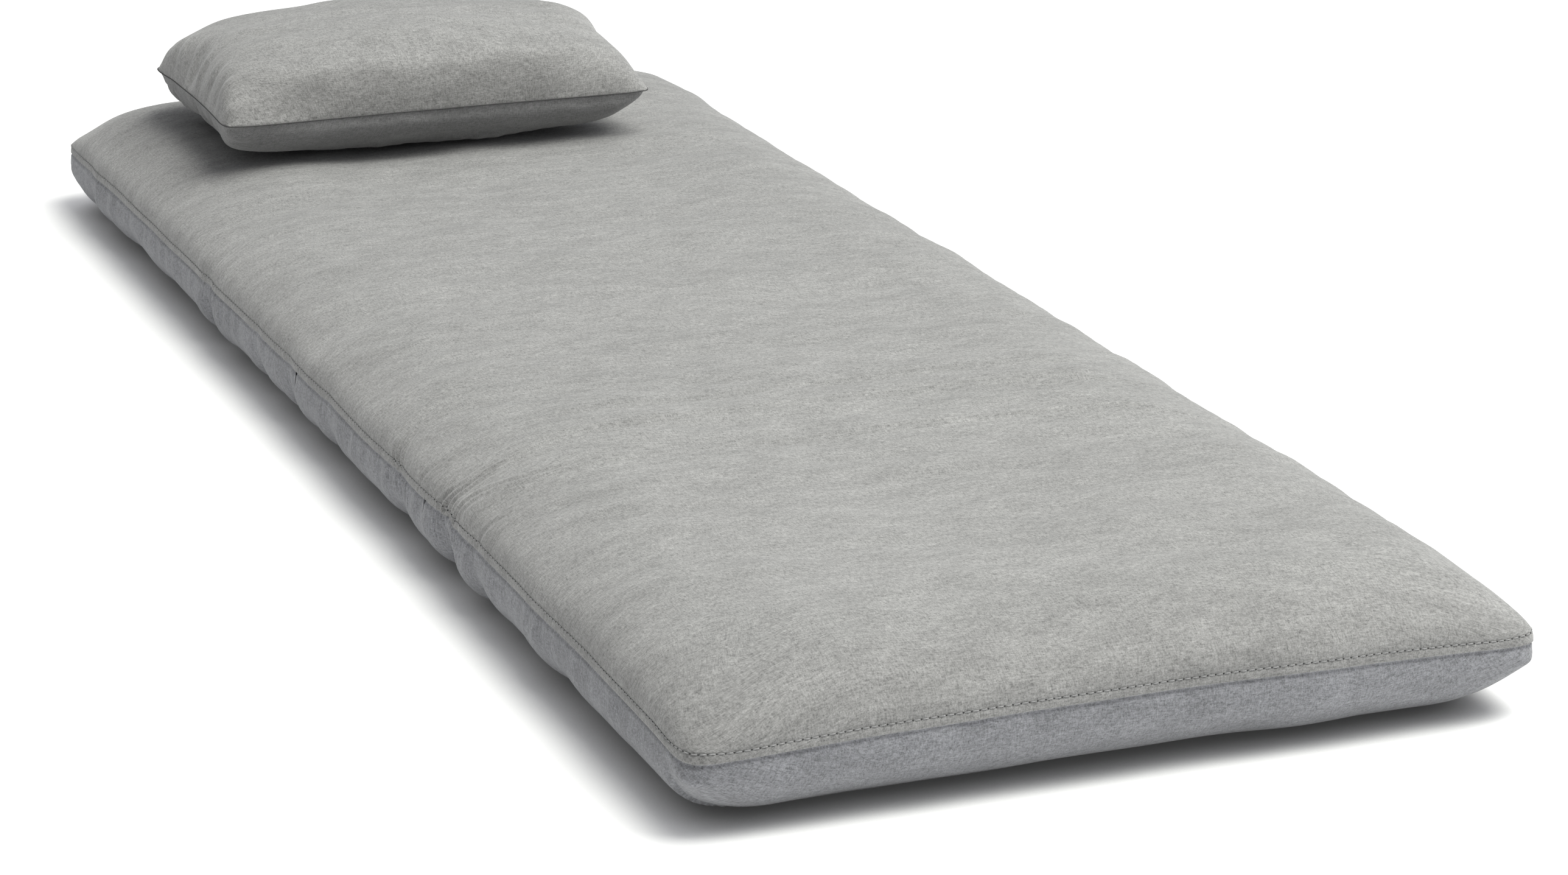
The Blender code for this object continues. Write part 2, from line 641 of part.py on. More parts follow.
def build():
    """Every piece, and the pivots of those that move."""
    for old in list(bpy.data.objects):
        bpy.data.objects.remove(old)

    looks = {
        "cover": material("cover_fabric", (0.42, 0.42, 0.40), 0.95),
        "foam": material("foam", (0.85, 0.82, 0.70), 0.95),
        "cloth": material("support_cloth", (0.08, 0.08, 0.08), 0.9),
        "steel": material("coated_steel", (0.05, 0.05, 0.05), 0.45, 0.6),
        "zinc": material("zinc_steel", (0.55, 0.56, 0.58), 0.35, 1.0),
        "filling": material("fibre_filling", (0.90, 0.90, 0.88), 0.95),
        "zip": material("zip_plastic", (0.20, 0.20, 0.20), 0.5),
    }

    back = new_pivot("back_pivot", (0, BACK_AXIS, SEAM_HEIGHT))
    bridge = new_pivot("bridge_pivot", (0, BRIDGE_AXIS, SEAM_HEIGHT))
    foot = new_pivot("foot_pivot", (0, FOOT_AXIS, SEAM_HEIGHT), bridge)
    pillow = new_pivot("pillow_pivot", (PILLOW_X, PILLOW_Y, THICKNESS), back)

    build_section("back", (BACK_AXIS, None), back, looks)
    build_section("seat", (BRIDGE_AXIS, BACK_AXIS), None, looks)
    build_section("bridge", (FOOT_AXIS, BRIDGE_AXIS), bridge, looks)
    build_section("foot", (None, FOOT_AXIS), foot, looks)

    # frames
    steel = looks["steel"]
    new_object("back_frame_tube", bent_tube(BACK_AXIS, 1), steel, back)
    new_object("foot_frame_tube", bent_tube(FOOT_AXIS, -1), steel, foot)
    for side, sign in SIDES.items():
        seat_side = side_tube(sign, BRIDGE_AXIS, BACK_AXIS)
        new_object(f"seat_side_tube_{side}", seat_side, steel)
        bridge_side = side_tube(sign, FOOT_AXIS, BRIDGE_AXIS)
        new_object(f"bridge_side_tube_{side}", bridge_side, steel, bridge)
    new_object("back_cross_tube", cross_tube(BACK_AXIS + BACK_LENGTH / 2), steel, back)
    new_object("seat_cross_tube_rear", cross_tube(BACK_AXIS - CROSS_TUBE_INSET), steel)
    new_object("seat_cross_tube_front", cross_tube(BRIDGE_AXIS + CROSS_TUBE_INSET), steel)
    new_object("foot_cross_tube", cross_tube(FOOT_AXIS - FOOT_LENGTH / 2), steel, foot)

    # cloth over the frames
    clear = HINGE_REACH + GAP
    end = LENGTH / 2 - TUBE_INSET
    cloths = {
        "back": (BACK_AXIS + clear, end, back),
        "seat": (BRIDGE_AXIS + clear, BACK_AXIS - clear, None),
        "foot": (-end, FOOT_AXIS - clear, foot),
    }
    for name, (low, high, pivot) in cloths.items():
        new_object(f"{name}_support_cloth", support_cloth(low, high), looks["cloth"], pivot)

    # hinges
    zinc = looks["zinc"]
    for side, sign in SIDES.items():
        new_object(f"back_hinge_seat_leaf_{side}", pawl_holder_leaf(sign), zinc, None, False)
        new_object(f"back_hinge_ratchet_leaf_{side}", ratchet_leaf(sign), zinc, back, False)
        new_object(f"back_hinge_rivet_{side}", rivet(sign, BACK_AXIS), zinc)
        new_object(f"back_pawl_pin_{side}", pawl_pin(sign), zinc)
        y, z = pawl_pivot()
        turns_at = (sign * HINGE_X, BACK_AXIS + y, SEAM_HEIGHT + z)
        pawl_axis = new_pivot(f"back_pawl_pivot_{side}", turns_at)
        new_object(f"back_pawl_{side}", pawl(sign), zinc, pawl_axis, False)

        seat_leaf = plain_leaf(sign, BRIDGE_AXIS, 1, False)
        new_object(f"bridge_hinge_seat_leaf_{side}", seat_leaf, zinc, None, False)
        near_leaf = plain_leaf(sign, BRIDGE_AXIS, -1, True)
        new_object(f"bridge_hinge_bridge_leaf_{side}", near_leaf, zinc, bridge, False)
        new_object(f"bridge_hinge_rivet_{side}", rivet(sign, BRIDGE_AXIS), zinc)

        far_leaf = plain_leaf(sign, FOOT_AXIS, 1, False)
        new_object(f"foot_hinge_bridge_leaf_{side}", far_leaf, zinc, bridge, False)
        foot_leaf = plain_leaf(sign, FOOT_AXIS, -1, True)
        new_object(f"foot_hinge_foot_leaf_{side}", foot_leaf, zinc, foot, False)
        new_object(f"foot_hinge_rivet_{side}", rivet(sign, FOOT_AXIS), zinc, bridge)

    # pillow
    new_object("pillow_cover_top", cover_panel(PILLOW, 1), looks["cover"], pillow)
    new_object("pillow_cover_base", cover_panel(PILLOW, -1), looks["cover"], pillow)
    new_object("pillow_filling", pillow_filling(), looks["filling"], pillow)

    # zips
    zips = {
        "cover": (MATTRESS, COVER_ZIP_DROP, COVER_ZIP_LENGTH, back),
        "pillow": (PILLOW, PILLOW_ZIP_DROP, PILLOW_ZIP_LENGTH, pillow),
    }
    for name, (cushion, drop, length, pivot) in zips.items():
        chain = zip_chain(cushion, drop, length)
        new_object(f"{name}_zip_chain", chain, looks["zip"], pivot, False)
        start = cushion.centre[0] - length / 2 + SLIDER_LENGTH
        slide = new_pivot(f"{name}_zip_slide", (start, *zip_place(cushion, drop)), pivot)
        slider = zip_slider(cushion, drop, length)
        new_object(f"{name}_zip_slider", slider, zinc, slide, False)
        swing = new_pivot(f"{name}_zip_swing", (start, *pull_axis(cushion, drop)), slide)
        new_object(f"{name}_zip_pull", zip_pull(cushion, drop, length), zinc, swing, False)


build()
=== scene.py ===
"""A folding futon sofa bed, laid flat, with its loose pillow.

The mattress is one upholstered skin over four folding sections. It is cut, out of sight, into
three pieces, each of which spans a single hinge.
"""

import math

import bpy
import numpy as np
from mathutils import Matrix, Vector


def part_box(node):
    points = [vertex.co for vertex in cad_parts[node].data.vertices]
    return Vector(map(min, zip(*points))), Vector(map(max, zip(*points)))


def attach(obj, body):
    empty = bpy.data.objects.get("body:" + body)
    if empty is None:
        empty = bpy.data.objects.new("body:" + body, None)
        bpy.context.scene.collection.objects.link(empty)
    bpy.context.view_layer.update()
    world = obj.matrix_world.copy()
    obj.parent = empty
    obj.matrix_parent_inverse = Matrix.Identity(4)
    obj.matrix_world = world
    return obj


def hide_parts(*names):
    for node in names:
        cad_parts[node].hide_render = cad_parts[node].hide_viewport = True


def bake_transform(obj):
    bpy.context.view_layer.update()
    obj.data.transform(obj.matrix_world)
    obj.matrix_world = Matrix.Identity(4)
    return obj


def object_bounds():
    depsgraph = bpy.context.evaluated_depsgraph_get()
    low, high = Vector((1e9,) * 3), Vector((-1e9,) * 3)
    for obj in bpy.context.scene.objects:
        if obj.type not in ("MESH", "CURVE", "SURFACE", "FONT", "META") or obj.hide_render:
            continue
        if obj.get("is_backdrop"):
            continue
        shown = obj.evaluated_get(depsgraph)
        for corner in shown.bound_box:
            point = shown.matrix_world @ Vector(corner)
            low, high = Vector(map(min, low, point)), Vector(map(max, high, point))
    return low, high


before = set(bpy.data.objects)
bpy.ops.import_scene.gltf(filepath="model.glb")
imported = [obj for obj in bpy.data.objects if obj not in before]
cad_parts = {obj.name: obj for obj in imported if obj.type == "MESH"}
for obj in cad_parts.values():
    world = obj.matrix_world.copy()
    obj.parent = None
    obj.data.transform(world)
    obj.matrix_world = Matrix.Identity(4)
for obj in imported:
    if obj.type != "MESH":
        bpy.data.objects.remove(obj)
CAD_LOW, CAD_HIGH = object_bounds()
scene = bpy.context.scene

# Sizes, in metres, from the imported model

COVER_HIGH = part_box("seat_cover_top")[1]
HALF_WIDTH = COVER_HIGH.x
HALF_LENGTH = CAD_HIGH.y
THICKNESS = COVER_HIGH.z
SEAM_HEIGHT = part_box("seat_cover_base")[1].z
# The edges of the covers at the three folds, which lie within a few millimetres of the hinges
BACK_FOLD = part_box("back_cover_top")[0].y
BRIDGE_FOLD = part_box("seat_cover_top")[0].y
FOOT_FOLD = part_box("bridge_cover_top")[0].y

# How far in from the seam each face becomes level, and the power of that roll's curve
TOP_ROLL = 0.143
BASE_ROLL = 0.085
ROLL_POWER = 2.2
# How square the corners are in plan
CORNER_POWER = 13

# Small tools


def ramp(low, high, x):
    """0 below low, 1 above high, smooth between."""
    t = np.clip((np.asarray(x, float) - low) / (high - low), 0, 1)
    return t * t * (3 - 2 * t)


def bump(x, middle, width):
    """A bell of height 1."""
    return np.exp(-(((np.asarray(x, float) - middle) / width) ** 2))


def ripples(u, v, wavelength, seed, count=14, stretch=1.0):
    """Smooth seeded unevenness between about -1 and 1. Stretch above 1 draws it out along u."""
    rng = np.random.default_rng(seed)
    total = np.zeros(np.shape(u))
    for _ in range(count):
        angle = rng.uniform(0, math.tau)
        pitch = math.tau / (wavelength * rng.uniform(0.7, 1.5))
        phase = rng.uniform(0, math.tau)
        total += np.cos(pitch * (math.cos(angle) * u / stretch + math.sin(angle) * v) + phase)
    return total / math.sqrt(count * 2)


def unit(v):
    """Rows of v, each made one long."""
    return v / np.maximum(np.linalg.norm(v, axis=-1, keepdims=True), 1e-12)


def mesh_object(name, points, faces, normals=None, uv=None, materials=(), slots=None):
    """A smooth-shaded object. Normals and uv, if given, are lists with one entry per face corner."""
    mesh = bpy.data.meshes.new(name)
    mesh.from_pydata([tuple(p) for p in points], [], faces)
    mesh.polygons.foreach_set("use_smooth", np.ones(len(mesh.polygons), bool))
    if uv is not None:
        layer = mesh.uv_layers.new(name="Fabric")
        layer.data.foreach_set("uv", np.asarray(uv, np.float32).ravel())
    for made in materials:
        mesh.materials.append(made)
    if slots is not None:
        mesh.polygons.foreach_set("material_index", np.asarray(slots, np.int32))
    if normals is not None:
        mesh.normals_split_custom_set([tuple(n) for n in normals])
    mesh.update()
    made = bpy.data.objects.new(name, mesh)
    scene.collection.objects.link(made)
    return made


# Materials


class Nodes:
    """A short way to write a node material. An underscore in a socket's name is a space."""

    def __init__(self, name):
        self.material = bpy.data.materials.new(name)
        self.material.use_nodes = True
        self.tree = self.material.node_tree
        self.shader = self.tree.nodes["Principled BSDF"]

    def add(self, kind, settings=None, **inputs):
        node = self.tree.nodes.new("ShaderNode" + kind)
        for key, value in (settings or {}).items():
            setattr(node, key, value)
        for key, value in inputs.items():
            self.put(node, key.replace("_", " "), value)
        return node

    def put(self, node, key, value):
        """Links a socket to an input, or sets it. The input is a name, or a number as text."""
        socket = node.inputs[int(key) if key.isdigit() else key]
        if isinstance(value, bpy.types.NodeSocket):
            self.tree.links.new(value, socket)
        else:
            socket.default_value = value

    def set(self, **inputs):
        """Inputs of the material's own shader."""
        for key, value in inputs.items():
            self.put(self.shader, key.replace("_", " "), value)

    def noise(self, where, scale, detail=2.0, roughness=0.5, stretch=(1, 1, 1)):
        moved = self.add("Mapping", Vector=where, Scale=stretch)
        made = self.add("TexNoise", Vector=moved.outputs[0])
        made.inputs["Scale"].default_value = scale
        made.inputs["Detail"].default_value = detail
        made.inputs["Roughness"].default_value = roughness
        return made.outputs["Fac"]

    def math(self, operation, a, b):
        node = self.add("Math", {"operation": operation})
        self.put(node, "0", a)
        self.put(node, "1", b)
        return node.outputs[0]

    def mix(self, share, a, b, blend="MIX"):
        node = self.add("Mix", {"data_type": "RGBA", "blend_type": blend})
        self.put(node, "0", share)
        self.put(node, "6", a)
        self.put(node, "7", b)
        return node.outputs[2]

    def colours(self, value, *stops):
        node = self.add("ValToRGB", Fac=value)
        elements = node.color_ramp.elements
        while len(elements) < len(stops):
            elements.new(0.5)
        for element, (place, colour) in zip(elements, stops):
            element.position = place
            element.color = (*colour, 1)
        return node.outputs[0]

    def bumped(self, height, strength, distance, normal=None):
        node = self.add("Bump", Height=height, Strength=strength, Distance=distance)
        if normal is not None:
            self.put(node, "Normal", normal)
        return node.outputs[0]


def grey(value, warmth=0.0):
    """A grey with less blue and a trace more red, or the other way for a negative warmth."""
    return (value * (1 + warmth / 4), value, value * (1 - warmth))


def melange(name, level, contrast, warmth=0.0, nap=1.0):
    """A brushed heather cloth: light and dark fibres twisted in both directions of the weave."""
    n = Nodes(name)
    cloth = n.add("UVMap", {"uv_map": "Fabric"}).outputs[0]
    across = n.noise(cloth, 620, 3, 0.65, (0.30, 1, 1))
    along = n.noise(cloth, 620, 3, 0.65, (1, 0.30, 1))
    slubs = n.noise(cloth, 210, 3, 0.7, (0.45, 1, 1))
    flecks = n.noise(cloth, 900, 2, 0.6)
    clouds = n.noise(cloth, 8, 4, 0.6, (0.45, 1, 1))
    fibres = n.math("ADD", n.math("MULTIPLY", across, 0.30), n.math("MULTIPLY", along, 0.28))
    fibres = n.math("ADD", fibres, n.math("MULTIPLY", slubs, 0.14))
    fibres = n.math("ADD", fibres, n.math("MULTIPLY", flecks, 0.28))
    spread = 0.17 / contrast
    heather = n.colours(
        fibres,
        (0.5 - spread, grey(level * (1 - 0.62 * contrast), warmth)),
        (0.5, grey(level, warmth)),
        (0.5 + spread, grey(level * (1 + 0.55 * contrast), warmth)),
    )
    blotches = n.noise(cloth, 46, 5, 0.72, (0.45, 1, 1))
    shade = n.colours(clouds, (0.32, grey(0.89)), (0.68, grey(1.0)))
    mottle = n.colours(blotches, (0.34, grey(0.78)), (0.66, grey(1.0)))
    n.set(Base_Color=n.mix(1.0, n.mix(1.0, heather, shade, "MULTIPLY"), mottle, "MULTIPLY"))
    soft = n.bumped(n.noise(cloth, 150, 3, 0.6, (0.5, 1, 1)), 0.30 * nap, 0.0012)
    n.set(Normal=n.bumped(fibres, 0.55 * nap, 0.0008, soft))
    n.set(Roughness=n.colours(flecks, (0.3, grey(0.86)), (0.7, grey(0.98))))
    n.shader.inputs["Sheen Weight"].default_value = 0.25
    n.shader.inputs["Sheen Roughness"].default_value = 0.55
    n.shader.inputs["Specular IOR Level"].default_value = 0.12
    return n.material


def thread_material(name, level):
    """Twisted sewing thread."""
    n = Nodes(name)
    where = n.add("TexCoord").outputs["Object"]
    twist = n.noise(where, 1800, 2, 0.5)
    n.set(Base_Color=n.colours(twist, (0.3, grey(level * 0.6)), (0.7, grey(level * 1.2))))
    n.set(Normal=n.bumped(twist, 0.5, 0.0002))
    n.shader.inputs["Roughness"].default_value = 0.75
    return n.material


def metal_material(name, colour, roughness, metallic, scale=260):
    """Plated or powder-coated steel, faintly mottled."""
    n = Nodes(name)
    where = n.add("TexCoord").outputs["Object"]
    mottle = n.noise(where, scale, 3, 0.6)
    dark = tuple(c * 0.75 for c in colour)
    n.set(Base_Color=n.colours(mottle, (0.35, dark), (0.65, colour)))
    low, high = roughness * 0.8, roughness * 1.2
    n.set(Roughness=n.colours(mottle, (0.3, grey(low)), (0.7, grey(high))))
    n.set(Normal=n.bumped(mottle, 0.15, 0.0002))
    n.shader.inputs["Metallic"].default_value = metallic
    return n.material


# One melange cloth in lit and shaded copies: the top lighter and warmer as painted light, the base darker
# and cooler as painted shade
LIT_TOP_FABRIC = melange("melange_top_painted_light", 0.282, 1.1, 0.020)
SHADED_BASE_FABRIC = melange("melange_base_painted_shade", 0.264, 1.15, -0.060, 1.2)
# The pillow's under panel: a darker copy of the same cloth, as painted shade
PILLOW_SHADED_BASE_FABRIC = melange("melange_pillow_base_painted_shade", 0.232, 1.0, 0.0)
THREAD = thread_material("sewing_thread", 0.30)
# The pillow's seam thread, drawn near black: a real seam, and painted shade of the crease along it
SEAM_THREAD_AND_SHADE = thread_material("seam_thread_and_painted_shade", 0.06)
# Near-black marks in the needle holes: painted shade
HOLE_SHADE = thread_material("painted_needle_hole_shade", 0.04)
ZINC = metal_material("zinc_plate", (0.55, 0.56, 0.58), 0.35, 1.0)
COATED = metal_material("black_powder_coat", (0.03, 0.03, 0.032), 0.5, 0.0, 900)
ZIP = metal_material("zip_moulding", (0.16, 0.16, 0.165), 0.5, 0.0, 1200)
TAPE = thread_material("zip_tape", 0.07)

for node_name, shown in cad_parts.items():
    kind = COATED
    if any(word in node_name for word in ("leaf", "rivet", "pawl", "slider", "pull")):
        kind = ZINC
    elif "zip" in node_name:
        kind = ZIP
    for place in shown.material_slots:
        place.material = kind

# The mattress. Its skin is a band of rings that run round it, parallel to the seam, and a grid
# that fills the flat middle.

# The topstitching's distance from the seam, and the length of a stitch
LIP = 0.0068
STITCH_PITCH = 0.0067

# Spacing of the mesh. Rows lie closer on the stretches of the length where the cloth is gathered.
CLOSE = 0.0015
CLOSE_RINGS = 13
RING_GROWTH = 1.25
RING_PITCH = 0.0045
COLUMN_PITCH = 0.008
ROW_PITCH = 0.0045
FINE_ROW_PITCH = 0.0019
GATHERED = [(-0.54, -0.18), (0.31, 0.41)]
CORNER_STEPS = 44

# The seam's wander: how far the sides and ends curve in, how much they waver, how low the seam
# hangs at the corners, and the far left corner, which is pulled back
SIDE_PULL, END_PULL = 0.0035, 0.003
SIDE_WAVER, END_WAVER = 0.0012, 0.001
CORNER_DROOP = 0.006
FAR_LEFT_PULL = (0.003, -0.012)
FAR_LEFT_REACH = 0.10

# Half the width of the far end that stays plain for the zip, and the zip's distance from the seam
ZIP_REACH = 0.28
ZIP_RUN = 0.034

# Lumps in the top: (height, wavelength, seed, stretch along X)
LUMPS = [
    (0.0016, 0.16, 1, 1.0),
    (0.0010, 0.07, 2, 2.2),
    (0.0005, 0.03, 3, 3.5),
    (0.0020, 0.42, 4, 1.0),
]
# How high the cloth puckers beside the seam, above it and below it
TOP_PUCKER = 0.0007
BASE_PUCKER = 0.0009
# The lip between seam and topstitching stands up a little, and the topstitching lies in a groove:
# in full at the near end, and by SIDE_SHARE elsewhere. Past it the cloth swells all the way round.
LIP_HEIGHT = 0.0004
GROOVE, GROOVE_BED = 0.0004, 0.0003
SIDE_SHARE = 0.2
TOP_SWELL = 0.0008
# The base's fullness under the seam, and more of it on the left, and the nip at the seam
BASE_LUMPS = 0.0012
BASE_SWELL = 0.0022
LEFT_SWELL = 0.0035
SEAM_NIP = 0.0020


def rise(inset, roll):
    """How far the surface has risen, from 0 at the seam to 1, that far in from the edge."""
    t = np.clip(1 - inset / roll, 0, 1)
    return (1 - t**ROLL_POWER) ** (1 / ROLL_POWER)


def ring_insets():
    """How far in each ring lies in plan: close together by the seam, then a step apart."""
    angle = np.linspace(0, math.pi / 2, 4000)
    inset = TOP_ROLL * (1 - np.cos(angle) ** (2 / ROLL_POWER))
    top = (THICKNESS - SEAM_HEIGHT) * rise(inset, TOP_ROLL)
    base = SEAM_HEIGHT * rise(inset, BASE_ROLL)
    apart = np.diff(inset)
    step = np.maximum(np.hypot(apart, np.diff(top)), np.hypot(apart, np.diff(base)))
    run = np.concatenate([[0], np.cumsum(step)])
    stops = [CLOSE * k for k in range(CLOSE_RINGS)]
    gap = CLOSE
    while stops[-1] + gap < run[-1] - gap:
        gap = min(gap * RING_GROWTH, RING_PITCH)
        stops.append(stops[-1] + gap)
    return np.concatenate([np.interp(stops[:-1], run, inset), [TOP_ROLL]])


def run_lengths(insets, height, roll, finer=40):
    """The length along the surface from the seam to each ring."""
    steps = [np.linspace(a, b, finer, endpoint=False) for a, b in zip(insets, insets[1:])]
    fine = np.concatenate([*steps, insets[-1:]])
    z = height * rise(fine, roll)
    run = np.concatenate([[0], np.cumsum(np.hypot(np.diff(fine), np.diff(z)))])
    return np.concatenate([run[::finer][: len(insets) - 1], run[-1:]])


INSETS = ring_insets()
RINGS = len(INSETS)
TOP_RUN = run_lengths(INSETS, THICKNESS - SEAM_HEIGHT, TOP_ROLL)
BASE_RUN = run_lengths(INSETS, SEAM_HEIGHT, BASE_ROLL)

INNER_X = HALF_WIDTH - TOP_ROLL
INNER_Y = HALF_LENGTH - TOP_ROLL
COLUMNS = np.linspace(-INNER_X, INNER_X, 2 * round(INNER_X / COLUMN_PITCH) + 1)


def row_places():
    """Where the rows lie along the length: closer together where the cloth is gathered."""
    y = np.linspace(-INNER_Y, INNER_Y, 6001)
    dense = sum(ramp(a - 0.03, a, y) * (1 - ramp(b, b + 0.03, y)) for a, b in GATHERED)
    density = 1 / ROW_PITCH + dense * (1 / FINE_ROW_PITCH - 1 / ROW_PITCH)
    gone = np.concatenate([[0], np.cumsum((density[1:] + density[:-1]) / 2 * np.diff(y))])
    return np.interp(np.linspace(0, gone[-1], round(gone[-1]) + 1), gone, y)


ROWS = row_places()


def stations():
    """Round the mattress from the left near corner: (inner point, outward direction) for each."""
    places = []
    angles = np.linspace(0, math.pi / 2, CORNER_STEPS + 1)
    power = 2 / CORNER_POWER

    def corner(sx, sy, turning):
        for a in turning:
            out = (sx * max(math.cos(a), 0) ** power, sy * max(math.sin(a), 0) ** power)
            places.append((sx * INNER_X, sy * INNER_Y, *out))

    shape = angles - 0.21 * np.sin(4 * angles)
    corner(-1, -1, shape)
    for x in COLUMNS[1:-1]:
        places.append((x, -INNER_Y, 0, -1))
    corner(1, -1, shape[::-1])
    for y in ROWS[1:-1]:
        places.append((INNER_X, y, 1, 0))
    corner(1, 1, shape)
    for x in COLUMNS[-2:0:-1]:
        places.append((x, INNER_Y, 0, 1))
    corner(-1, 1, shape[::-1])
    for y in ROWS[-2:0:-1]:
        places.append((-INNER_X, y, -1, 0))
    return np.array(places)


STATIONS = stations()
COUNT = len(STATIONS)

# Where the side is drawn in along the left: (y, how deep, half width)
NOTCHES = [
    (0.86, 0.007, 0.016),
    (0.36, 0.008, 0.016),
    (0.18, 0.005, 0.016),
    (0.07, 0.005, 0.014),
    (-0.06, 0.004, 0.016),
    (-0.28, 0.006, 0.024),
    (-0.41, 0.010, 0.020),
    (-0.50, 0.004, 0.016),
    (-0.70, 0.002, 0.024),
]
# Bunches of small pleats under the seam at the left: (y, depth, half width)
PLEATS = [
    (0.352, 0.0011, 0.020),
    (-0.285, 0.0010, 0.026),
    (-0.395, 0.0013, 0.020),
    (-0.445, 0.0011, 0.018),
    (0.80, 0.0008, 0.020),
]
PLEAT_PITCH = 0.0075
# Creases across the top where the mattress folds: strands, their pitch, then points along the
# middle strand (u, v, depth). u is 0 in the middle and -0.374 at the left seam; v runs along.
CREASES = [
    (3, 0.010, [(-0.374, -0.275, 0.0010), (-0.345, -0.262, 0.0011), (-0.315, -0.240, 0.0010),
                (-0.285, -0.224, 0.0009), (-0.255, -0.220, 0.0)]),
    (2, 0.010, [(-0.350, -0.300, 0.0), (-0.325, -0.268, 0.0007), (-0.295, -0.248, 0.0009),
                (-0.262, -0.246, 0.0)]),
    (3, 0.010, [(-0.374, -0.402, 0.0016), (-0.345, -0.420, 0.0014), (-0.310, -0.421, 0.0011),
                (-0.279, -0.415, 0.0011), (-0.225, -0.403, 0.0013), (-0.150, -0.392, 0.0011),
                (-0.030, -0.386, 0.0008), (0.080, -0.388, 0.0008), (0.150, -0.386, 0.0008),
                (0.220, -0.404, 0.0012), (0.300, -0.440, 0.0005), (0.350, -0.455, 0.0)]),
    (2, 0.011, [(-0.374, -0.436, 0.0014), (-0.340, -0.450, 0.0011), (-0.310, -0.468, 0.0009),
                (-0.270, -0.476, 0.0007), (-0.160, -0.477, 0.0006), (-0.004, -0.476, 0.0008),
                (0.100, -0.480, 0.0012), (0.170, -0.490, 0.0016), (0.225, -0.500, 0.0013),
                (0.290, -0.540, 0.0005), (0.340, -0.570, 0.0)]),
    (2, 0.010, [(-0.300, -0.352, 0.0), (-0.223, -0.343, 0.0008), (-0.130, -0.338, 0.0008),
                (-0.035, -0.336, 0.0008), (0.060, -0.330, 0.0011), (0.140, -0.334, 0.0008),
                (0.200, -0.345, 0.0007), (0.290, -0.380, 0.0)]),
    (1, 0.012, [(-0.374, -0.340, 0.0006), (-0.340, -0.352, 0.0006), (-0.300, -0.352, 0.0)]),
    (1, 0.014, [(-0.210, -0.520, 0.0), (-0.170, -0.545, 0.0012), (-0.130, -0.575, 0.0)]),
    (1, 0.014, [(-0.374, -0.500, 0.0007), (-0.345, -0.512, 0.0006), (-0.310, -0.528, 0.0)]),
    (2, 0.009, [(-0.374, 0.345, 0.0007), (-0.350, 0.350, 0.0005), (-0.325, 0.352, 0.0)]),
    (1, 0.016, [(-0.374, 0.080, 0.0005), (-0.340, 0.090, 0.0004), (-0.290, 0.100, 0.0)]),
    (1, 0.016, [(0.374, -0.300, 0.0007), (0.330, -0.312, 0.0006), (0.250, -0.318, 0.0)]),
    (1, 0.016, [(0.374, 0.130, 0.0007), (0.330, 0.115, 0.0006), (0.250, 0.108, 0.0)]),
    (1, 0.016, [(0.374, 0.340, 0.0009), (0.320, 0.330, 0.0006), (0.240, 0.326, 0.0)]),
]


def crease_field(u, v):
    """Bunches of valleys with soft ridges between, added up over the creases."""
    total = np.zeros(np.shape(u))
    for strands, pitch, points in CREASES:
        best = np.full(np.shape(u), 9.0)
        away = np.full(np.shape(u), 9.0)
        depth = np.zeros(np.shape(u))
        for a, b in zip(points, points[1:]):
            du, dv = b[0] - a[0], b[1] - a[1]
            length = math.hypot(du, dv)
            t = np.clip(((u - a[0]) * du + (v - a[1]) * dv) / length**2, 0, 1)
            off_u, off_v = u - a[0] - t * du, v - a[1] - t * dv
            apart = np.hypot(off_u, off_v)
            nearer = apart < best
            sign = np.sign(du * off_v - dv * off_u)
            away = np.where(nearer, apart * sign, away)
            depth = np.where(nearer, a[2] + t * (b[2] - a[2]), depth)
            best = np.minimum(apart, best)
        reach = strands * pitch / 2
        total -= depth * np.cos(math.tau * away / pitch) * np.exp(-((away / reach) ** 2))
    return total


def skin():
    """Points of the top and base, uv of both, as [ring, station] bands and [row, column] middles."""
    inner, out = STATIONS[:, :2], STATIONS[:, 2:]
    length = np.maximum(np.linalg.norm(out, axis=1, keepdims=True), 1e-9)
    share = (1 - INSETS / TOP_ROLL)[:, None, None]
    plan = inner[None] + TOP_ROLL * share * out[None]
    grid_x, grid_y = np.meshgrid(COLUMNS, ROWS)
    x = np.concatenate([plan[..., 0].ravel(), grid_x.ravel()])
    y = np.concatenate([plan[..., 1].ravel(), grid_y.ravel()])
    made = {}
    bow = np.where(y > 0, ramp(ZIP_REACH, HALF_WIDTH, np.abs(x)), (x / HALF_WIDTH) ** 2)
    seam = SEAM_HEIGHT - CORNER_DROOP * bow * np.abs(y) ** 8
    inset = np.concatenate([np.repeat(INSETS, COUNT), np.full(grid_x.size, TOP_ROLL)])
    in_x, in_y = HALF_WIDTH - np.abs(x), HALF_LENGTH - np.abs(y)
    for side, roll, runs in ((1, TOP_ROLL, TOP_RUN), (-1, BASE_ROLL, BASE_RUN)):
        height = np.minimum(rise(inset, roll), rise(in_x, roll) * rise(in_y, roll))
        z = seam + height * (THICKNESS - seam) if side > 0 else seam * (1 - height)
        reach = runs[-1] - runs
        uv = inner[None] + (out / length)[None] * reach[:, None, None]
        u = np.concatenate([uv[..., 0].ravel(), grid_x.ravel()])
        v = np.concatenate([uv[..., 1].ravel(), grid_y.ravel()])
        s = np.concatenate([np.repeat(runs, COUNT), np.full(grid_x.size, 9.0)])
        made[side] = dict(p=np.stack([x, y, z], 1), u=u, v=v, s=s)
    return made


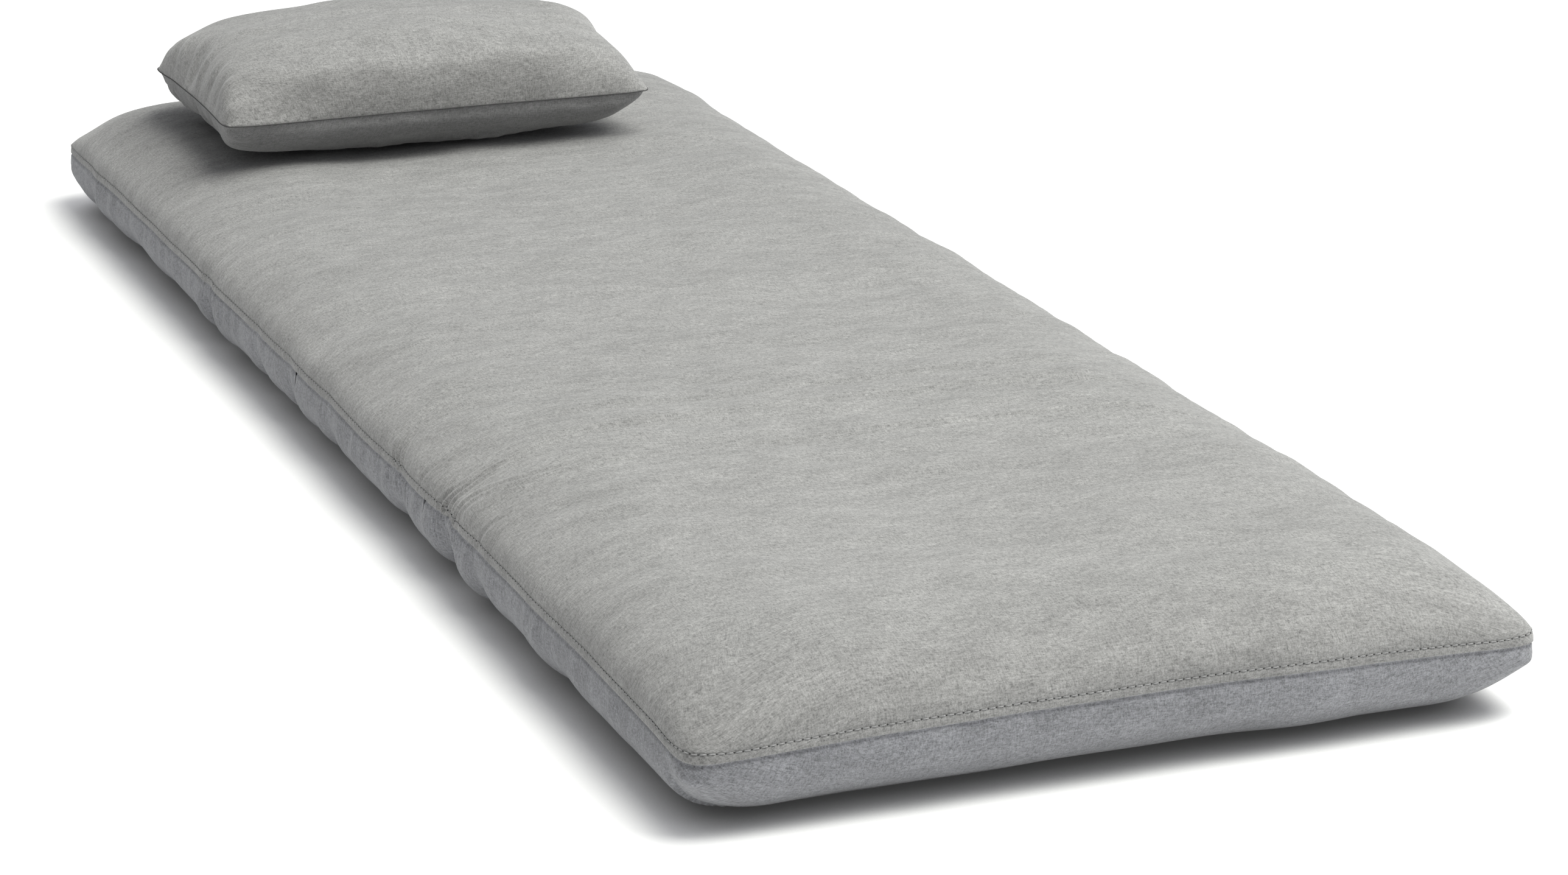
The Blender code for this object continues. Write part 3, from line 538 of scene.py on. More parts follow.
def side_shift(p):
    """The seam's sideways wander: sides pulled in a little between the corners, and gathers."""
    x, y = p[:, 0], p[:, 1]
    edge_x = ramp(0.20, HALF_WIDTH, np.abs(x))
    edge_y = ramp(0.80, HALF_LENGTH, np.abs(y))
    in_x = SIDE_PULL * (1 - np.abs(y) ** 3) + SIDE_WAVER * ripples(y, y, 0.30, 5)
    in_y = END_PULL * (1 - (x / HALF_WIDTH) ** 2) + END_WAVER * ripples(x, x, 0.22, 6)
    dx = -np.sign(x) * edge_x * in_x
    dy = -np.sign(y) * edge_y * in_y
    dy *= np.where(y > 0, ramp(ZIP_REACH, ZIP_REACH + 0.04, np.abs(x)), 1)
    off_x, off_y = (x + HALF_WIDTH) / FAR_LEFT_REACH, (y - HALF_LENGTH) / FAR_LEFT_REACH
    far_left = np.exp(-(off_x**2) - off_y**2)
    return dx + FAR_LEFT_PULL[0] * far_left, dy + FAR_LEFT_PULL[1] * far_left


def grid_normals(band, middle, side):
    """Unit normals of the band and middle points, outward."""
    around = np.roll(band, -1, 1) - np.roll(band, 1, 1)
    inward = np.gradient(band, axis=0)
    n_band = unit(np.cross(around, inward)) * side
    ring = np.concatenate([n_band[:-1], n_band[-2:-1]])
    flat = unit(np.cross(np.gradient(middle, axis=1), np.gradient(middle, axis=0))) * side
    return ring, flat


def top_lift(p, u, v, s, left):
    """How far each point of the top stands out from the plain shape."""
    lift = sum(size * ripples(u, v, pitch, seed, stretch=far) for size, pitch, seed, far in LUMPS)
    lift *= ramp(0.0, 0.05, s)
    pucker = ripples(np.where(np.abs(p[:, 0]) > 0.3, v, u), 0 * u, 0.028, 9)
    lift += TOP_PUCKER * pucker * bump(s, 0.016, 0.012)
    front = ramp(0.85, 0.95, -p[:, 1])
    lip = LIP_HEIGHT * (1 - ramp(LIP - 0.002, LIP, s))
    groove = -GROOVE * bump(s, LIP, 0.0012) - GROOVE_BED * bump(s, LIP, 0.004)
    share = SIDE_SHARE + (1 - SIDE_SHARE) * front
    lift += (lip + groove) * share + TOP_SWELL * bump(s, 0.022, 0.010)
    lift += crease_field(u, v)
    for y, deep, width in NOTCHES:
        lift -= left * 0.35 * deep * bump(v, y, width) * bump(s, 0.0, 0.035)
    return lift


def base_lift(p, u, v, s, left):
    """How far each point of the base stands out from the plain shape."""
    lift = BASE_LUMPS * ripples(u, v, 0.12, 11) * ramp(0.0, 0.03, s)
    lift += BASE_SWELL * ramp(0.003, 0.020, s) * (1 - ramp(0.05, 0.10, s))
    lift -= SEAM_NIP * bump(s, 0.0016, 0.0016) * (s > 0)
    along = np.where(np.abs(p[:, 0]) > 0.3, v, u)
    pucker = ripples(along, 0 * u, 0.020, 12) + 0.7 * ripples(along, 0 * u, 0.045, 13)
    lift += BASE_PUCKER * pucker * bump(s, 0.012, 0.014)
    for y, deep, width in NOTCHES:
        lift -= left * deep * bump(v, y, width) * bump(s, 0.045, 0.045) * ramp(0.0, 0.02, s)
        beside = bump(v, y - 2.2 * width, width) + bump(v, y + 2.2 * width, width)
        lift += left * 0.35 * deep * beside * bump(s, 0.04, 0.03)
    for y, deep, width in PLEATS:
        waves = np.cos(math.tau * (v - y + 0.08 * s) / PLEAT_PITCH)
        fading = ramp(0.0, 0.004, s) * (1 - ramp(0.010, 0.028, s))
        lift += left * deep * waves * bump(v, y, width) * fading
    lift += left * LEFT_SWELL * ramp(0.004, 0.030, s) * (1 - ramp(0.045, 0.10, s))
    beyond = ramp(ZIP_REACH, ZIP_REACH + 0.03, np.abs(p[:, 0]))
    zip_place = ramp(0.96, 0.985, p[:, 1]) * bump(s, ZIP_RUN, 0.010) * (1 - beyond)
    return lift * (1 - zip_place) - 0.0004 * zip_place


def displaced(data, side):
    """The surface with its lumps, seam, gathers and creases."""
    p, u, v, s = data["p"].copy(), data["u"], data["v"], data["s"]
    dx, dy = side_shift(p)
    p[:, 0] += dx
    p[:, 1] += dy
    band = p[: RINGS * COUNT].reshape(RINGS, COUNT, 3)
    middle = p[RINGS * COUNT:].reshape(len(ROWS), len(COLUMNS), 3)
    n_band, n_middle = grid_normals(band, middle, side)
    normal = np.concatenate([n_band.reshape(-1, 3), n_middle.reshape(-1, 3)])
    left = (p[:, 0] < 0) & (np.abs(p[:, 1]) < INNER_Y + 0.1)
    left = left * ramp(0.0, 0.10, -p[:, 0])
    lift = (top_lift if side > 0 else base_lift)(p, u, v, s, left)
    p += lift[:, None] * normal
    if side < 0:
        p[:, 2] = np.maximum(p[:, 2], 0)
    return p


SKIN = skin()
TOP = displaced(SKIN[1], 1)
BASE = displaced(SKIN[-1], -1)
BASE[:COUNT] = TOP[:COUNT]
TOTAL = len(TOP)


def index_tables():
    """Point numbers of the band [ring, station] and the middle [row, column], with shared ones equal."""
    band = np.arange(RINGS * COUNT).reshape(RINGS, COUNT)
    middle = RINGS * COUNT + np.arange(len(ROWS) * len(COLUMNS)).reshape(len(ROWS), len(COLUMNS))
    columns = np.abs(STATIONS[:, :1] - COLUMNS).argmin(1)
    rows = np.abs(STATIONS[:, 1:2] - ROWS).argmin(1)
    band[-1] = middle[rows, columns]
    return band, middle


BAND, MIDDLE = index_tables()


def quads(side):
    """Faces of the top or base as rows of four point numbers, wound outward."""
    a, b = BAND[:-1], BAND[1:]
    band = np.stack([a, np.roll(a, -1, 1), np.roll(b, -1, 1), b], -1).reshape(-1, 4)
    m = MIDDLE
    middle = np.stack([m[:-1, :-1], m[:-1, 1:], m[1:, 1:], m[1:, :-1]], -1).reshape(-1, 4)
    faces = np.concatenate([band, middle])
    return faces if side > 0 else faces[:, ::-1]


def whole_skin():
    """Points, faces, per-corner uv and which faces are of the top."""
    top, base = quads(1), quads(-1)
    shared = base < COUNT
    uv_top = np.stack([SKIN[1]["u"], SKIN[1]["v"]], 1)
    uv_base = np.stack([SKIN[-1]["u"], SKIN[-1]["v"]], 1)
    uvs = np.concatenate([uv_top[top], uv_base[base] + (3.0, 0.0)])
    faces = np.concatenate([top, np.where(shared, base, base + TOTAL)])
    is_top = np.arange(len(faces)) < len(top)
    return np.concatenate([TOP, BASE]), faces, uvs, is_top


POINTS, FACES, UVS, IS_TOP = whole_skin()


def point_normals(points, faces):
    """Area-weighted normals of the points."""
    p = points[faces]
    face = np.cross(p[:, 2] - p[:, 0], p[:, 3] - p[:, 1])
    total = np.zeros(points.shape)
    for k in range(4):
        np.add.at(total, faces[:, k], face)
    return unit(total)


NORMALS = point_normals(POINTS, FACES)


def row_at(y):
    """The row of the middle grid nearest y."""
    return int(np.argmin(np.abs(ROWS - y)))


MIDDLE_OF_SEAT = ROWS[row_at((BACK_FOLD + BRIDGE_FOLD) / 2)]
MIDDLE_OF_BRIDGE = ROWS[row_at((BRIDGE_FOLD + FOOT_FOLD) / 2)]


def section(name, low, high):
    """The part of the skin between two rows, closed where it is cut."""
    rest = np.concatenate([SKIN[1]["p"], SKIN[-1]["p"]])
    middle = rest[FACES][:, :, 1].mean(1)
    chosen = np.nonzero((middle > low) & (middle < high))[0]
    faces, uvs, normals, slots = [], [], [], []
    for k in chosen:
        corners, seen = [], []
        for c, place in zip(FACES[k], UVS[k]):
            if c not in seen:
                seen.append(c)
                corners.append((c, place))
        faces.append([c for c, _ in corners])
        uvs += [place for _, place in corners]
        normals += [NORMALS[c] for c, _ in corners]
        slots.append(0 if IS_TOP[k] else 1)
    for cut, way in ((low, -1), (high, 1)):
        if abs(cut) < HALF_LENGTH:
            line = cut_line(cut)
            for (a, b), (c, d) in zip(zip(line[0], line[1]), zip(line[0][1:], line[1][1:])):
                cap = [a, c, d, b] if way > 0 else [a, b, d, c]
                cap = list(dict.fromkeys(cap))
                faces.append(cap)
                uvs += [(POINTS[c][0], POINTS[c][2]) for c in cap]
                normals += [(0, way, 0)] * len(cap)
                slots.append(1)
    used = sorted({c for face in faces for c in face})
    fresh = {c: k for k, c in enumerate(used)}
    faces = [[fresh[c] for c in face] for face in faces]
    # The top takes the lit copy of the cloth; the base and the cut ends take the darker copy, as painted
    # shade
    return mesh_object(name, POINTS[used], faces, normals, uvs, (LIT_TOP_FABRIC, SHADED_BASE_FABRIC), slots)


def cut_line(y):
    """Point numbers across the top and base along a cut, from left to right."""
    row = row_at(y)
    beside = np.abs(STATIONS[:, 1] - ROWS[row]) < 1e-9
    left = np.nonzero(beside & (STATIONS[:, 2] == -1))[0][0]
    right = np.nonzero(beside & (STATIONS[:, 2] == 1))[0][0]
    top = [*BAND[:, left], *MIDDLE[row, 1:-1], *BAND[::-1, right]]
    base = [c if c < COUNT else c + TOTAL for c in top]
    return top, base


FAR = 2 * HALF_LENGTH
CUTS = {
    "mattress_head": (MIDDLE_OF_SEAT, FAR),
    "mattress_middle": (MIDDLE_OF_BRIDGE, MIDDLE_OF_SEAT),
    "mattress_foot": (-FAR, MIDDLE_OF_BRIDGE),
}


def bend(piece):
    """Puts the placement of a piece of the skin, or of its thread, into its points."""
    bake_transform(piece)


COVERS = {"mattress_head": ["back"], "mattress_middle": ["seat"], "mattress_foot": ["bridge", "foot"]}
for part, (low, high) in CUTS.items():
    piece = section(part, low, high)
    bend(piece)
    soft = []
    for body in COVERS[part]:
        soft += [f"{body}_{kind}" for kind in ("cover_top", "cover_base", "foam_upper", "foam_lower")]
        if f"{body}_support_cloth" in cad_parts:
            soft.append(f"{body}_support_cloth")
    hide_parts(*soft)


# The topstitching, one line round the mattress above the seam


def ring_line(run):
    """The points and normals of the top surface that far from the seam, all the way round."""
    k = int(np.searchsorted(TOP_RUN, run))
    t = (run - TOP_RUN[k - 1]) / (TOP_RUN[k] - TOP_RUN[k - 1])
    low, high = BAND[k - 1], BAND[k]
    return (1 - t) * TOP[low] + t * TOP[high], unit((1 - t) * NORMALS[low] + t * NORMALS[high])


def stitch_places(run, pitch):
    """Evenly spaced (middle, direction, normal) along the ring."""
    line, normals = ring_line(run)
    line = np.concatenate([line, line[:1]])
    normals = np.concatenate([normals, normals[:1]])
    gone = np.concatenate([[0], np.cumsum(np.linalg.norm(np.diff(line, axis=0), axis=1))])
    number = round(gone[-1] / pitch)
    at = (np.arange(number) + 0.5) * gone[-1] / number
    points = np.stack([np.interp(at, gone, line[:, k]) for k in range(3)], 1)
    ahead = np.stack([np.interp(at + 0.002, gone, line[:, k]) for k in range(3)], 1)
    ways = unit(ahead - points)
    outs = unit(np.stack([np.interp(at, gone, normals[:, k]) for k in range(3)], 1))
    return points, ways, outs


# Along one thread: (place, share of its radius)
THREAD_RINGS = [(-0.5, 0.35), (-0.38, 0.85), (0.0, 1.0), (0.38, 0.85), (0.5, 0.35)]
THREAD_SIDES = 6


def lozenges(places, length, radius, dip, lift):
    """A short thread at each place, bowed so that its ends go into the cloth."""
    points, ways, outs = places
    rings, sides = THREAD_RINGS, THREAD_SIDES
    vertices, faces = [], []
    for p, w, o in zip(points, ways, outs):
        cross = np.cross(w, o)
        start = len(vertices)
        for place, share in rings:
            middle = p + w * place * length + o * (lift - dip * (2 * place) ** 2)
            for k in range(sides):
                a = math.tau * k / sides
                vertices.append(middle + radius * share * (math.cos(a) * cross + math.sin(a) * o))
        for r in range(len(rings) - 1):
            for k in range(sides):
                m = (k + 1) % sides
                a, b = start + r * sides, start + (r + 1) * sides
                faces.append((a + k, a + m, b + m, b + k))
        faces.append(tuple(start + k for k in range(sides))[::-1])
        last = start + (len(rings) - 1) * sides
        faces.append(tuple(last + k for k in range(sides)))
    return vertices, faces


def shared_out(name, vertices, faces, per_item, material):
    """Splits many small items, each of the same number of points and faces, between the three parts."""
    vertices = np.array(vertices)
    points_each, faces_each = per_item
    middles = vertices.reshape(-1, points_each, 3)[:, :, 1].mean(1)
    for part, (low, high) in CUTS.items():
        chosen = np.nonzero((middles > low) & (middles <= high))[0]
        points, kept = [], []
        for count, item in enumerate(chosen):
            shift = count * points_each - item * points_each
            points.append(vertices[item * points_each: (item + 1) * points_each])
            for face in faces[item * faces_each: (item + 1) * faces_each]:
                kept.append([c + shift for c in face])
        piece = mesh_object(f"{name}_{part[9:]}", np.concatenate(points), kept, materials=(material,))
        bend(piece)


PLACES = stitch_places(LIP, STITCH_PITCH)
HALF_ON = (PLACES[0] + PLACES[1] * STITCH_PITCH / 2, PLACES[1], PLACES[2])
STITCH = dict(length=0.0052, radius=0.00055, dip=0.0008, lift=0.0006)
HOLE = dict(length=0.0014, radius=0.0006, dip=0.0002, lift=0.0001)
PER_THREAD = (len(THREAD_RINGS) * THREAD_SIDES, (len(THREAD_RINGS) - 1) * THREAD_SIDES + 2)
shared_out("topstitch", *lozenges(PLACES, **STITCH), PER_THREAD, THREAD)
# Dark marks between the stitches: painted shade in the needle holes
shared_out("needle_hole", *lozenges(HALF_ON, **HOLE), PER_THREAD, HOLE_SHADE)

# The pillow: two flat panels sewn round their edge and blown up by a cloth simulation. Formulas
# then give the result its fullness, nearly straight sides, steep walls and soft folds.

PILLOW_CUT = (0.500, 0.340)
PILLOW_GRID = (100, 68)
PILLOW_PRESSURE = 3.4
PILLOW_FRAMES = 26
PILLOW_ROUNDS = 14
# How far in from the seam each face becomes level, and the power of the top's curve
PILLOW_BASE_ROLL = 0.110
PILLOW_TOP_ROLL = 0.088
PILLOW_TOP_POWER = 3.0
# Powers that make the crown and the underside fuller, and how much deeper the underside is drawn
CROWN_POWER, UNDER_POWER = 0.82, 0.78
UNDER_DEPTH = 1.15
# How far the ends and the near side curve in between the corners, and how blunt the corners are
PILLOW_END_PULL = 0.007
PILLOW_NEAR_PULL = 0.006
PILLOW_BLUNT = 0.007
# Heights of the folds at the left end, of the unevenness and of the upright wrinkles in front
LEFT_FOLDS = 0.0030
UNEVENNESS = 0.0012
WRINKLES = 0.0011


def envelope():
    """The flat pillow: points, faces, uv per face corner, the rim's point numbers in order, each
    point's place from -1 to 1, which are of the top, and both panels as grids of point numbers."""
    across, along = PILLOW_GRID
    u, v = np.meshgrid(np.linspace(-1, 1, across), np.linspace(-1, 1, along))
    x = PILLOW_CUT[0] / 2 * u - 0.004 * u**7 * v**20
    y = PILLOW_CUT[1] / 2 * v - 0.004 * v**7 * u**20
    inside = (1 - u**2) * (1 - v**2)
    rng = np.random.default_rng(4)
    z = 0.004 * inside + 0.0004 * rng.standard_normal(u.shape) * (inside > 0)
    points = np.concatenate([np.stack([x, y, h], -1).reshape(-1, 3) for h in (z, -z)])
    top = np.arange(u.size).reshape(u.shape)
    base = top + u.size
    for edge in (np.s_[0], np.s_[-1], np.s_[:, 0], np.s_[:, -1]):
        base[edge] = top[edge]
    up = np.stack([top[:-1, :-1], top[:-1, 1:], top[1:, 1:], top[1:, :-1]], -1).reshape(-1, 4)
    down = np.stack([base[:-1, :-1], base[1:, :-1], base[1:, 1:], base[:-1, 1:]], -1).reshape(-1, 4)
    flat = np.stack([x, y], -1).reshape(-1, 2)
    uv = np.concatenate([flat[up].reshape(-1, 2), flat[down % u.size].reshape(-1, 2) + (5.0, 0.0)])
    faces = np.concatenate([up, down])
    used = np.unique(faces)
    fresh = np.zeros(2 * u.size, int)
    fresh[used] = np.arange(len(used))
    rim = np.concatenate([top[0, :-1], top[:-1, -1], top[-1, :0:-1], top[:0:-1, 0]])
    rest = np.concatenate([np.stack([u, v], -1).reshape(-1, 2)] * 2)[used]
    is_top = used < u.size
    return points[used], fresh[faces], uv, fresh[rim], rest, is_top, (fresh[top], fresh[base])


def calmed(p, grids, rounds):
    """The panels with their small folds smoothed out, and the rim smoothed along itself."""
    p = p.copy()
    for _ in range(rounds):
        fresh = p.copy()
        for grid in grids:
            q = p[grid]
            around = q[:-2, 1:-1] + q[2:, 1:-1] + q[1:-1, :-2] + q[1:-1, 2:]
            fresh[grid[1:-1, 1:-1]] = 0.5 * q[1:-1, 1:-1] + 0.125 * around
        for edge in (grids[0][0], grids[0][-1], grids[0][:, 0], grids[0][:, -1]):
            fresh[edge[1:-1]] = 0.5 * p[edge[1:-1]] + 0.25 * (p[edge[:-2]] + p[edge[2:]])
        p = fresh
    return p


def blown_up(points, faces):
    """The points after the cloth simulation."""
    piece = mesh_object("cloth_in_work", points, faces.tolist())
    cloth = piece.modifiers.new("cloth", "CLOTH")
    wanted = cloth.settings
    wanted.quality = 6
    wanted.mass = 0.05
    wanted.tension_stiffness = 15
    wanted.compression_stiffness = 4.5
    wanted.shear_stiffness = 6
    wanted.bending_stiffness = 4
    wanted.tension_damping = wanted.compression_damping = wanted.shear_damping = 8
    wanted.air_damping = 2
    wanted.use_pressure = True
    wanted.uniform_pressure_force = PILLOW_PRESSURE
    wanted.effector_weights.gravity = 0
    cloth.collision_settings.use_collision = False
    cloth.point_cache.frame_start = 1
    cloth.point_cache.frame_end = PILLOW_FRAMES
    for k in range(1, PILLOW_FRAMES + 1):
        scene.frame_set(k)
    done = piece.evaluated_get(bpy.context.evaluated_depsgraph_get()).to_mesh()
    result = np.array([v.co for v in done.vertices])
    scene.frame_set(1)
    bpy.data.objects.remove(piece)
    return result


def side_to_side(place, along, across, half, pulled_in):
    """Stretches each row of the blown-up cloth so that its sides curve in only a little."""
    result = place.copy()
    for row in np.unique(along):
        chosen = along == row
        for sign in (-1, 1):
            part = chosen & (sign * across > 0)
            edge = np.abs(place[part]).max()
            wanted = half - np.broadcast_to(pulled_in, place.shape)[part] * (1 - row**2)
            wanted = wanted - PILLOW_BLUNT * abs(row) ** 14
            result[part] = place[part] * wanted / edge
    return result


def settled(p, rest, is_top, low, high, seam):
    """Fits the blown-up cloth to the pillow's place, flat where it lies on the mattress."""
    half = (high - low) / 2
    middle = (high + low) / 2
    u, v = rest[:, 0], rest[:, 1]
    out = p.copy()
    near_pull = PILLOW_NEAR_PULL * (v < 0)
    out[:, 0] = side_to_side(p[:, 0], v, u, half.x, PILLOW_END_PULL)
    out[:, 1] = side_to_side(p[:, 1], u, v, half.y, near_pull)
    from_left = (1 + u) * half.x
    along_end = math.tau * v * half.y
    folds = np.cos(along_end / 0.034 + 0.6) + 0.6 * np.cos(along_end / 0.019 + 2.0)
    puff = LEFT_FOLDS * folds * bump(from_left, 0.020, 0.022) * (from_left > 0) * (1 - v**6)
    soft = UNEVENNESS * ripples(p[:, 0], p[:, 1], 0.06, 21)
    edge = np.minimum(1 - np.abs(u), 1 - np.abs(v))
    soft *= ramp(0.0, 0.25, edge)
    upright = WRINKLES * np.cos(math.tau * p[:, 0] / 0.021 + 3 * v)
    upright = upright * bump(v, -0.75, 0.25) * bump(u, 0.1, 0.5)
    full = np.abs(p[:, 2]) / np.abs(p[:, 2]).max()
    crown = full**CROWN_POWER * (high.z - seam)
    z = np.where(is_top, crown, -(full**UNDER_POWER) * (seam - low.z) * UNDER_DEPTH)
    z += np.where(is_top, 1, -1) * (puff + soft + upright) * (edge > 0)
    depth = seam - low.z
    under = -np.minimum(z, 0) / depth
    pressed = np.where(under > 0.6, 0.6 + 0.4 * np.tanh((under - 0.6) / 0.4), under)
    z = np.where(is_top, np.maximum(z, 0), -pressed * depth)
    out[:, 2] = np.clip(seam + z, low.z, high.z)
    share = np.where(is_top, (out[:, 2] - seam) / (high.z - seam), (seam - out[:, 2]) / depth)
    share = np.clip(share, 0, 1)
    roll = np.where(is_top, PILLOW_TOP_ROLL, PILLOW_BASE_ROLL)
    power = np.where(is_top, PILLOW_TOP_POWER, ROLL_POWER)
    inset = roll * (1 - (1 - share**power) ** (1 / power))
    low_down = 1 - ramp(0.62, 0.92, share)
    wall = np.sign(v) * (half.y - near_pull * (1 - u**2) - inset)
    ends = np.where(is_top, 1 - ramp(0.45, 0.85, np.abs(u)), 1 - ramp(0.62, 0.92, np.abs(u)))
    steep = ramp(0.35, 0.75, np.abs(v)) * ends * low_down
    out[:, 1] += steep * (wall - out[:, 1])
    wall = np.sign(u) * (half.x - PILLOW_END_PULL * (1 - v**2) - inset)
    steep = 0.2 * ramp(0.55, 0.85, np.abs(u)) * (1 - ramp(0.50, 0.85, np.abs(v))) * low_down
    out[:, 0] += steep * (wall - out[:, 0])
    return out + (middle.x, middle.y, 0)


def smoothed_loop(values, finer):
    """A closed run of values, drawn finer on a smooth curve (quadratic B-spline midpoints)."""
    for _ in range(int(math.log2(finer))):
        ahead, behind = np.roll(values, -1), np.roll(values, 1)
        on = 0.75 * values + 0.125 * (ahead + behind)
        between = 0.5 * (values + ahead)
        values = np.stack([on, between], 1).ravel()
    return values


def closed_tube(line, radius, sides):
    """Points and faces of a thin tube along a closed line."""
    way = unit(np.roll(line, -1, 0) - np.roll(line, 1, 0))
    level = unit(np.cross(way, (0, 0, 1.0)))
    up = np.cross(level, way)
    turns = math.tau * np.arange(sides) / sides
    rings = line[:, None] + radius * (
        np.cos(turns)[None, :, None] * level[:, None] + np.sin(turns)[None, :, None] * up[:, None])
    number = np.arange(len(line) * sides).reshape(len(line), sides)
    ahead = np.roll(number, -1, 0)
    faces = np.stack([number, np.roll(number, -1, 1), np.roll(ahead, -1, 1), ahead], -1)
    return rings.reshape(-1, 3), faces.reshape(-1, 4).tolist()


def pillow():
    """A loose pillow with a plain sewn edge."""
    low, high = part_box("pillow_cover_base")[0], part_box("pillow_cover_top")[1]
    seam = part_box("pillow_cover_base")[1].z
    points, faces, uv, rim, rest, is_top, grids = envelope()
    shape = calmed(blown_up(points, faces), grids, PILLOW_ROUNDS)
    shape = settled(shape, rest, is_top, low, high, seam)
    is_rim = np.zeros(len(shape), bool)
    is_rim[rim] = True
    beside = np.zeros(len(shape), bool)
    beside[faces[is_rim[faces].any(1)].ravel()] = True
    centre = shape[rim].mean(0)
    tucked = beside & ~is_rim & ~is_top
    shape[tucked] += unit(centre - shape[tucked]) * 0.0016 + (0, 0, 0.0008)
    # The under panel takes the darker copy of the cloth, as painted shade
    slots = [0] * (len(faces) // 2) + [1] * (len(faces) // 2)
    piece = mesh_object("pillow", shape, faces.tolist(), None, uv, (LIT_TOP_FABRIC, PILLOW_SHADED_BASE_FABRIC), slots)
    pairs = {frozenset(pair) for pair in zip(rim.tolist(), np.roll(rim, -1).tolist())}
    sharp = piece.data.attributes.new("crease_edge", "FLOAT", "EDGE")
    for edge in piece.data.edges:
        if frozenset(edge.vertices) in pairs:
            sharp.data[edge.index].value = 1.0
    piece.modifiers.new("smooth", "SUBSURF").render_levels = 1
    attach(piece, "pillow")
    # The seam thread, near black as painted shade of the tucked crease round the rim
    line = np.stack([smoothed_loop(shape[rim][:, k], 4) for k in range(3)], 1)
    line += unit(line - centre) * (1, 1, 0) * 0.0002 - (0, 0, 0.0005)
    seam_line = mesh_object("pillow_seam_and_shade", *closed_tube(line, 0.00055, 5), materials=(SEAM_THREAD_AND_SHADE,))
    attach(seam_line, "pillow")
    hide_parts("pillow_cover_top", "pillow_cover_base", "pillow_filling")


pillow()

# The zips: two tapes that meet, with teeth that reach over each other in turn

TOOTH_PITCH = 0.0025
# How far a tooth reaches from the middle of the chain, to its own side and past the middle
TOOTH_REACH, TOOTH_OVERLAP = 0.0022, 0.0006


def zip_teeth(name, node_name, body):
    """The closed chain of a zip, in the place of its plain solid."""
    low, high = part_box(node_name)
    middle = (low.z + high.z) / 2
    points, faces, slots = [], [], []

    def block(start, end, chamfer, slot):
        first = len(points)
        inner = ((start.z + chamfer, 0), (end.z - chamfer, 0))
        for z, inset in ((start.z, chamfer), *inner, (end.z, chamfer)):
            points.extend([
                (start.x + inset, start.y, z), (end.x - inset, start.y, z),
                (end.x - inset, end.y - inset, z), (start.x + inset, end.y - inset, z),
            ])
        for ring in range(3):
            a = first + 4 * ring
            faces.extend([(a + k, a + (k + 1) % 4, a + 4 + (k + 1) % 4, a + 4 + k) for k in range(4)])
        faces.append((first + 3, first + 2, first + 1, first))
        faces.append((first + 12, first + 13, first + 14, first + 15))
        slots.extend([slot] * 14)

    tape = low.y + 0.4 * (high.y - low.y)
    block(low, Vector((high.x, tape, high.z)), 0.0001, 0)
    number = round((high.x - low.x) / TOOTH_PITCH)
    for k in range(number):
        x = low.x + (k + 0.5) * (high.x - low.x) / number
        side = 1 if k % 2 else -1
        ends = sorted((middle - side * TOOTH_OVERLAP, middle + side * TOOTH_REACH))
        half = 0.40 * TOOTH_PITCH
        block(Vector((x - half, tape, ends[0])), Vector((x + half, high.y, ends[1])), 0.0004, 1)
    made = mesh_object(name, points, faces, materials=(TAPE, ZIP), slots=slots)
    made.data.shade_flat()
    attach(made, body)
    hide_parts(node_name)


zip_teeth("cover_zip", "cover_zip_chain", "back")
zip_teeth("pillow_zip", "pillow_zip_chain", "pillow")

# The floor, light and camera

# The floor's painted shadow, by how much open sky each place sees: (share of open sky, grey)
FLOOR_PAINTED_SHADOW = [(0.08, 0.22), (0.38, 0.62), (0.60, 0.92), (0.88, 1.0)]
# How strongly the floor glows: painted light that lifts its shadows
FLOOR_PAINTED_GLOW = 0.13
FLOOR_HALF_SIZE = 30
FLOOR_HEIGHT = -0.0005

# The camera: where it looks, from which side and how far, and its lens in millimetres
CAMERA_TARGET = (0.0119, -0.2649, 0.0507)
CAMERA_AZIMUTH, CAMERA_ELEVATION = -21.6, 17.6
CAMERA_DISTANCE = 4.0014
CAMERA_SENSOR, CAMERA_LENS = 36, 102.84

# The sky: its brightest direction, and its colour
SKY_LEAN = (0.66, 0.04, 0.75)
SKY_COLOUR = (0.955, 0.965, 1, 1)


